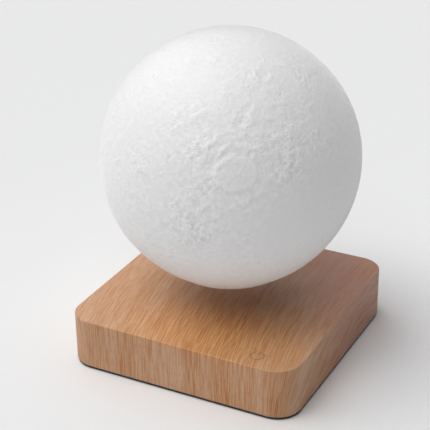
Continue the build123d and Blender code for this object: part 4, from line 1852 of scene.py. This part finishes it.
    def block(self) -> bpy.types.Object:
        """The wooden block, with its eased edges, milled pocket and the hole of the power inlet.

        A ring is given by its inset and height. They run from the middle of the top over its eased
        edge, down the wall, round the lower edge and up into the pocket.

        Returns:
            The piece.
        """
        angle = self.angles()
        high, low, top, bottom = self.wood_high, self.wood_low, self.top_ease, self.low_ease
        beside, bend_points, inlet_length = 0.3, 6, 12
        bends = np.linspace(0, math.pi / 2, bend_points)
        steps = [(inset, high) for inset in (50, 30, 15, 6, 2, top + beside)]
        steps += [(top * (1 - math.sin(turn)), high - top * (1 - math.cos(turn))) for turn in bends]
        steps += [(0, height) for height in (high - top - beside, 22, 12, 5, low + bottom + beside)]
        steps += [(bottom * (1 - math.cos(turn)), low + bottom * (1 - math.sin(turn))) for turn in bends]
        steps.append((bottom + beside, low))
        rings = [self.eased_ring(angle, inset, height) for inset, height in steps]
        pocket = self.cut_square(angle, self.pocket_half, self.pocket_cut)
        rings += [level(pocket, height) for height in (low, self.pocket_high)]
        form = Form.through(np.stack(rings))
        piece = add_piece("wood_block", form, "base", WOOD, ["base_housing"], self.sharp)
        through_wall = Matrix.Translation((0, self.pocket_half - 2, self.inlet_height))
        through_wall = through_wall @ Matrix.Rotation(-math.pi / 2, 4, "X")
        inlet = Form.bar(circle(self.inlet_radius, 72), 0, inlet_length).placed(through_wall)
        recess = Form.bar(circle(self.recess_radius, 48), low - 1, self.pocket_high).at(*self.touch, 0)
        carve(piece, [inlet, recess], sharp=self.sharp)
        pilot = Form.bar(circle(self.hole_radius, 24), low - 1, self.pilot_high)
        pilots = [pilot.placed(place) for place in four_corners(self.screw_place, 0)]
        carve(piece, pilots, sharp=self.sharp)
        self.map_grain(piece.data)
        return piece

    def map_grain(self, mesh: bpy.types.Mesh) -> None:
        """Writes the grain map to a wooden mesh.

        Args:
            mesh: The mesh, which gets a UV map.
        """
        points = np.empty(len(mesh.vertices) * 3, np.float32)
        mesh.vertices.foreach_get("co", points)
        spots = self.grain_map(points.reshape(-1, 3).astype(float) / MILLIMETRE)
        corner = np.empty(len(mesh.loops), np.int32)
        mesh.loops.foreach_get("vertex_index", corner)
        layer = mesh.uv_layers.get("grain") or mesh.uv_layers.new(name="grain")
        layer.data.foreach_set("uv", spots[corner].astype(np.float32).ravel())

    def touch_mark(self) -> bpy.types.Object:
        """The thin printed mark of the touch switch: a ring with a gap, and a stroke in the gap.

        Returns:
            The piece.
        """
        radius, half_width, gap = 3.8, 0.24, math.radians(36)
        stroke_low, stroke_high, sunk, proud = 0.6, 4.6, 0.05, 0.02
        low, high = self.wood_high - sunk, self.wood_high + proud
        angle = np.linspace(math.pi / 2 + gap, math.pi / 2 + FULL_TURN - gap, 65)
        way = np.column_stack([np.cos(angle), np.sin(angle)])
        strip = np.stack([way * (radius + half_width), way * (radius - half_width)], 1)
        rings = np.stack([np.vstack([level(pair, high), level(pair[::-1], low)]) for pair in strip])
        stroke = np.array([
            (-half_width, stroke_low), (half_width, stroke_low), (half_width, stroke_high),
            (-half_width, stroke_high),
        ])
        mark = Form.joined([Form.through(rings), Form.bar(stroke, low, high)]).at(*self.touch, 0)
        return add_piece("touch_mark", mark, "base", MARK_BROWN)

    def cover(self) -> bpy.types.Object:
        """The black bottom cover, with recesses for the feet and screws, and the board's standoffs.

        A ring of its lip is given by how far it lies inside the lip's edge and over its underside.

        Returns:
            The piece.
        """
        angle, low, high = self.angles(), self.lip_low, self.spigot_high
        steps = ((40, 0), (12, 0), (2, 0), (0.3, 0), (0.09, 0.03), (0, 0.12), (0, 0.8))
        rings = [self.eased_ring(angle, self.lip_inset + away, low + up) for away, up in steps]
        rings.append(self.eased_ring(angle, self.lip_inset, self.wood_low))
        spigot = self.cut_square(angle, self.pocket_half - self.spigot_gap, self.pocket_cut)
        rings += [level(spigot, height) for height in (self.wood_low, high)]
        form = Form.through(np.stack(rings))
        piece = add_piece(
            "base_cover", form, "base", BLACK_PLASTIC, ["bottom_plate"], self.sharp
        )
        overlap, pilot_floor = 0.5, 0.6
        top = high + self.standoff_height
        standoff = Form.bar(circle(self.standoff_radius, 32), high - overlap, top)
        standoffs = [standoff.placed(place) for place in four_corners(self.foot_place, 0)]
        carve(piece, standoffs, Joining.FUSE)
        pilot = Form.bar(circle(self.board_pilot_radius, 20), high + pilot_floor, top + 1)
        recess = Form.bar(circle(self.foot_recess_radius, 64), -1, low + self.foot_recess_depth)
        for place in four_corners(self.foot_place, 0):
            carve(piece, [pilot.placed(place), recess.placed(place)])
        hole = Form.bar(circle(self.hole_radius, 24), -1, high)
        sink = Form.bar(circle(self.seat_radius, 40), -1, low + self.seat_depth)
        for place in four_corners(self.screw_place, 0):
            carve(piece, [hole.placed(place), sink.placed(place)])
        return piece

    def feet(self) -> bpy.types.Object:
        """Four rubber feet with soft edges and a shallow dish underneath.

        Returns:
            The piece.
        """
        dish, dish_radius, rim_radius, radius, height = 0.12, 3.2, 3.8, 5.0, 1.5
        corners = [
            (0, dish), (dish_radius, dish), (rim_radius, 0), (radius, 0), (radius, height), (0, height),
        ]
        profile = eased(corners, [0.4, 0.3, 0.25, 0.1], 4)
        foot = Form.turned(profile, 56)
        feet = Form.joined(foot.placed(place) for place in four_corners(self.foot_place, 0))
        return add_piece("soft_feet", feet, "base", FOOT_RUBBER, ["rubber_feet"])

    def screws(self) -> bpy.types.Object:
        """The four screws of the cover.

        Returns:
            The piece.
        """
        screw = Screw(shank=1.5, length=12.0, head=2.8, head_height=0.8)
        places = four_corners(self.screw_place, self.lip_low + self.seat_depth)
        return screw.group("cover_screws_crossed", places, "base", ["cover_screws"])

    def build(self) -> list[bpy.types.Object]:
        """The whole base as it shows from outside."""
        return [self.block(), self.touch_mark(), self.cover(), self.feet(), self.screws()]


@dataclass
class InnerWorks:
    """The pieces inside, which keep their own meshes.

    Attributes:
        finishes: The finish of each CAD node.
    """

    finishes: dict[str, Finish] = field(default_factory=lambda: {
        "main_board": GREEN_BOARD, "board_screws": SCREW_STEEL, "ring_magnet": FERRITE,
        "electromagnet_coils": COPPER_WIRE, "electromagnet_cores": CORE_STEEL, "sensor_board": GREEN_BOARD,
        "hall_sensors": BLACK_EPOXY, "transmitter_coil": COPPER_WIRE, "transmitter_leads": COPPER_WIRE,
        "power_transistors": BLACK_EPOXY, "filter_capacitors": SLEEVE, "control_chip": BLACK_EPOXY,
        "choke_inductor": BLACK_EPOXY, "dc_socket": BLACK_PLASTIC, "socket_pin": NICKEL,
        "touch_pad": COPPER_FOIL, "touch_board": GREEN_BOARD, "touch_lead": COPPER_WIRE,
        "float_magnet": NICKEL, "receiver_coil": COPPER_WIRE, "receiver_leads": COPPER_WIRE,
        "light_board": WHITE_BOARD, "light_board_screws": SCREW_STEEL, "leds": LED_RESIN,
        "rectifier_chip": BLACK_EPOXY, "storage_capacitor": SLEEVE,
    })

    def build(self) -> list[bpy.types.Object]:
        """Dresses each node that is still shown.

        Returns:
            The dressed nodes.
        """
        dressed = []
        for name, finish in self.finishes.items():
            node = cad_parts[name]
            if node.hide_render:
                continue
            node.data.materials.clear()
            node.data.materials.append(finish.material())
            dressed.append(node)
            log.info("%s: %s", name, finish.name)
        return dressed


# Studio


def bearing(azimuth: float, elevation: float) -> Vector:
    """The direction from the lamp to something that stands round it.

    It is sin a cos e, -cos a cos e, sin e, with a for the azimuth and e for the elevation.

    Args:
        azimuth: Degrees from the front; right is positive.
        elevation: Degrees over the floor.

    Returns:
        The unit vector.
    """
    turn, rise = math.radians(azimuth), math.radians(elevation)
    return Vector((math.sin(turn) * math.cos(rise), -math.cos(turn) * math.cos(rise), math.sin(rise)))


@dataclass(frozen=True)
class SoftLight:
    """A wide light, so far off that it lights the floor evenly.

    Attributes:
        name: Its name.
        power: How bright a white surface that faces it becomes.
        azimuth: Where it stands, in degrees from the front; right is positive.
        elevation: Its height over the floor, in degrees.
        width: Its width as seen from the lamp, in degrees.
    """

    name: str
    power: float
    azimuth: float
    elevation: float
    width: float

    def build(self) -> bpy.types.Object:
        """Makes the light and aims it at the lamp.

        Returns:
            The light.
        """
        data = bpy.data.lights.new(self.name, "SUN")
        data.energy, data.angle = self.power * math.pi, math.radians(self.width)
        light = put(self.name, data)
        towards = bearing(self.azimuth, self.elevation)
        light.rotation_mode = "QUATERNION"
        light.rotation_quaternion = towards.to_track_quat("Z", "Y")
        return light


@dataclass(frozen=True)
class Studio:
    """A pale floor, a weak even dome of light, and soft lights all round, strongest at the left.

    Attributes:
        floor_colour: Linear colour of the floor.
        backdrop: Linear brightness of what the camera and the gloss see beyond the floor.
        dome: Brightness of the dome on matte surfaces.
        lights: The soft lights.
        floor_radius: Radius of the floor, in millimetres.
    """

    floor_colour: Colour = (0.86, 0.862, 0.866)
    backdrop: float = 0.84
    dome: float = 0.03
    lights: tuple[SoftLight, ...] = (
        SoftLight("key", 0.45, -66.0, 62.0, 45.0),
        SoftLight("low_left", 0.085, -60.0, 35.0, 45.0),
        SoftLight("high_front", 0.265, 0.0, 62.0, 45.0),
        SoftLight("back_left", 0.145, -120.0, 35.0, 45.0),
        SoftLight("high_back", 0.14, 180.0, 62.0, 45.0),
        SoftLight("low_front", 0.035, 0.0, 12.0, 45.0),
        SoftLight("right", 0.012, 90.0, 12.0, 45.0),
        SoftLight("high_right", 0.02, 120.0, 62.0, 45.0),
    )
    floor_radius: float = 6000.0

    @staticmethod
    def seen(sketch: Sketch) -> bpy.types.NodeSocket:
        """Tells what is looked at from what only gives matte light.

        Args:
            sketch: The world's tree.

        Returns:
            1 for rays of the camera, of gloss and through glass, and 0 for the others.
        """
        path = sketch.add("LightPath").outputs
        seen = sketch.math("MAXIMUM", path["Is Camera Ray"], path["Is Glossy Ray"])
        return sketch.math("MAXIMUM", seen, path["Is Transmission Ray"])

    def floor(self) -> bpy.types.Object:
        """A round floor, which shows only from above.

        Returns:
            The floor.
        """
        mesh = bpy.data.meshes.new("floor")
        points = level(circle(self.floor_radius, 96), 0) * MILLIMETRE
        mesh.from_pydata(points.tolist(), [], [list(range(len(points)))])
        floor = put("floor", mesh)
        material = bpy.data.materials.new("floor_finish")
        sketch = Sketch.fresh(material)
        paint = sketch.add("BsdfDiffuse", {"Color": (*self.floor_colour, 1.0)})
        clear = sketch.add("BsdfTransparent")
        behind = sketch.add("NewGeometry").outputs["Backfacing"]
        mix = sketch.add("MixShader", {0: behind, 1: paint.outputs[0], 2: clear.outputs[0]})
        sketch.add("OutputMaterial", {"Surface": mix.outputs[0]})
        mesh.materials.append(material)
        return floor

    def dome_light(self) -> bpy.types.World:
        """The world: even light on matte surfaces, and a pale backdrop for the camera and the gloss.

        Returns:
            The world.
        """
        world = bpy.data.worlds.new("studio")
        bpy.context.scene.world = world
        sketch = Sketch.fresh(world)
        white = (1.0, 1.0, 1.0, 1.0)
        light = sketch.add("Background", {"Color": white, "Strength": self.dome})
        view = sketch.add("Background", {"Color": white, "Strength": self.backdrop})
        mix = sketch.add("MixShader", {0: self.seen(sketch), 1: light.outputs[0], 2: view.outputs[0]})
        sketch.add("OutputWorld", {"Surface": mix.outputs[0]})
        return world

    def build(self) -> None:
        """Sets up the studio and plain colour output."""
        bpy.context.scene.view_settings.view_transform = "Standard"
        self.floor()
        self.dome_light()
        for light in self.lights:
            light.build()


@dataclass(frozen=True)
class Viewpoint:
    """The camera of the photograph, found by fitting the base's corners and the ball's outline.

    Attributes:
        target: The point it looks at, in millimetres.
        azimuth: Degrees to the right of the front.
        elevation: Degrees over the horizon.
        distance: Millimetres from the target.
        roll: Degrees that the picture is turned.
        lens: Focal length, in millimetres.
        sensor: Width of the sensor, in millimetres.
        clip: The nearest and farthest distance that shows, in metres.
    """

    target: tuple[float, float, float] = (-8.15, -4.26, 80.48)
    azimuth: float = 27.5985
    elevation: float = 26.2275
    distance: float = 755.2
    roll: float = -0.6635
    lens: float = 108.8
    sensor: float = 36.0
    clip: tuple[float, float] = (0.01, 50.0)

    def build(self) -> bpy.types.Object:
        """Makes the camera and makes it the scene's own.

        Returns:
            The camera.
        """
        data = bpy.data.cameras.new("camera")
        data.lens, data.sensor_width = self.lens, self.sensor
        data.clip_start, data.clip_end = self.clip
        camera = put("camera", data)
        back = bearing(self.azimuth, self.elevation)
        camera.location = (Vector(self.target) + back * self.distance) * MILLIMETRE
        turn = (-back).to_track_quat("-Z", "Y").to_matrix().to_4x4()
        camera.rotation_mode = "QUATERNION"
        turn = turn @ Matrix.Rotation(math.radians(self.roll), 4, "Z")
        camera.rotation_quaternion = turn.to_quaternion()
        bpy.context.scene.camera = camera
        return camera


def main() -> None:
    """Builds the lamp and its studio."""
    logging.basicConfig(level=logging.INFO, format="%(name)s %(message)s")
    Viewpoint().build()
    Studio().build()
    for assembly in (Moon(), Base(), InnerWorks()):
        pieces = assembly.build()
        log.info("%s: %d pieces", type(assembly).__name__, len(pieces))


if __name__ == "__main__":
    main()
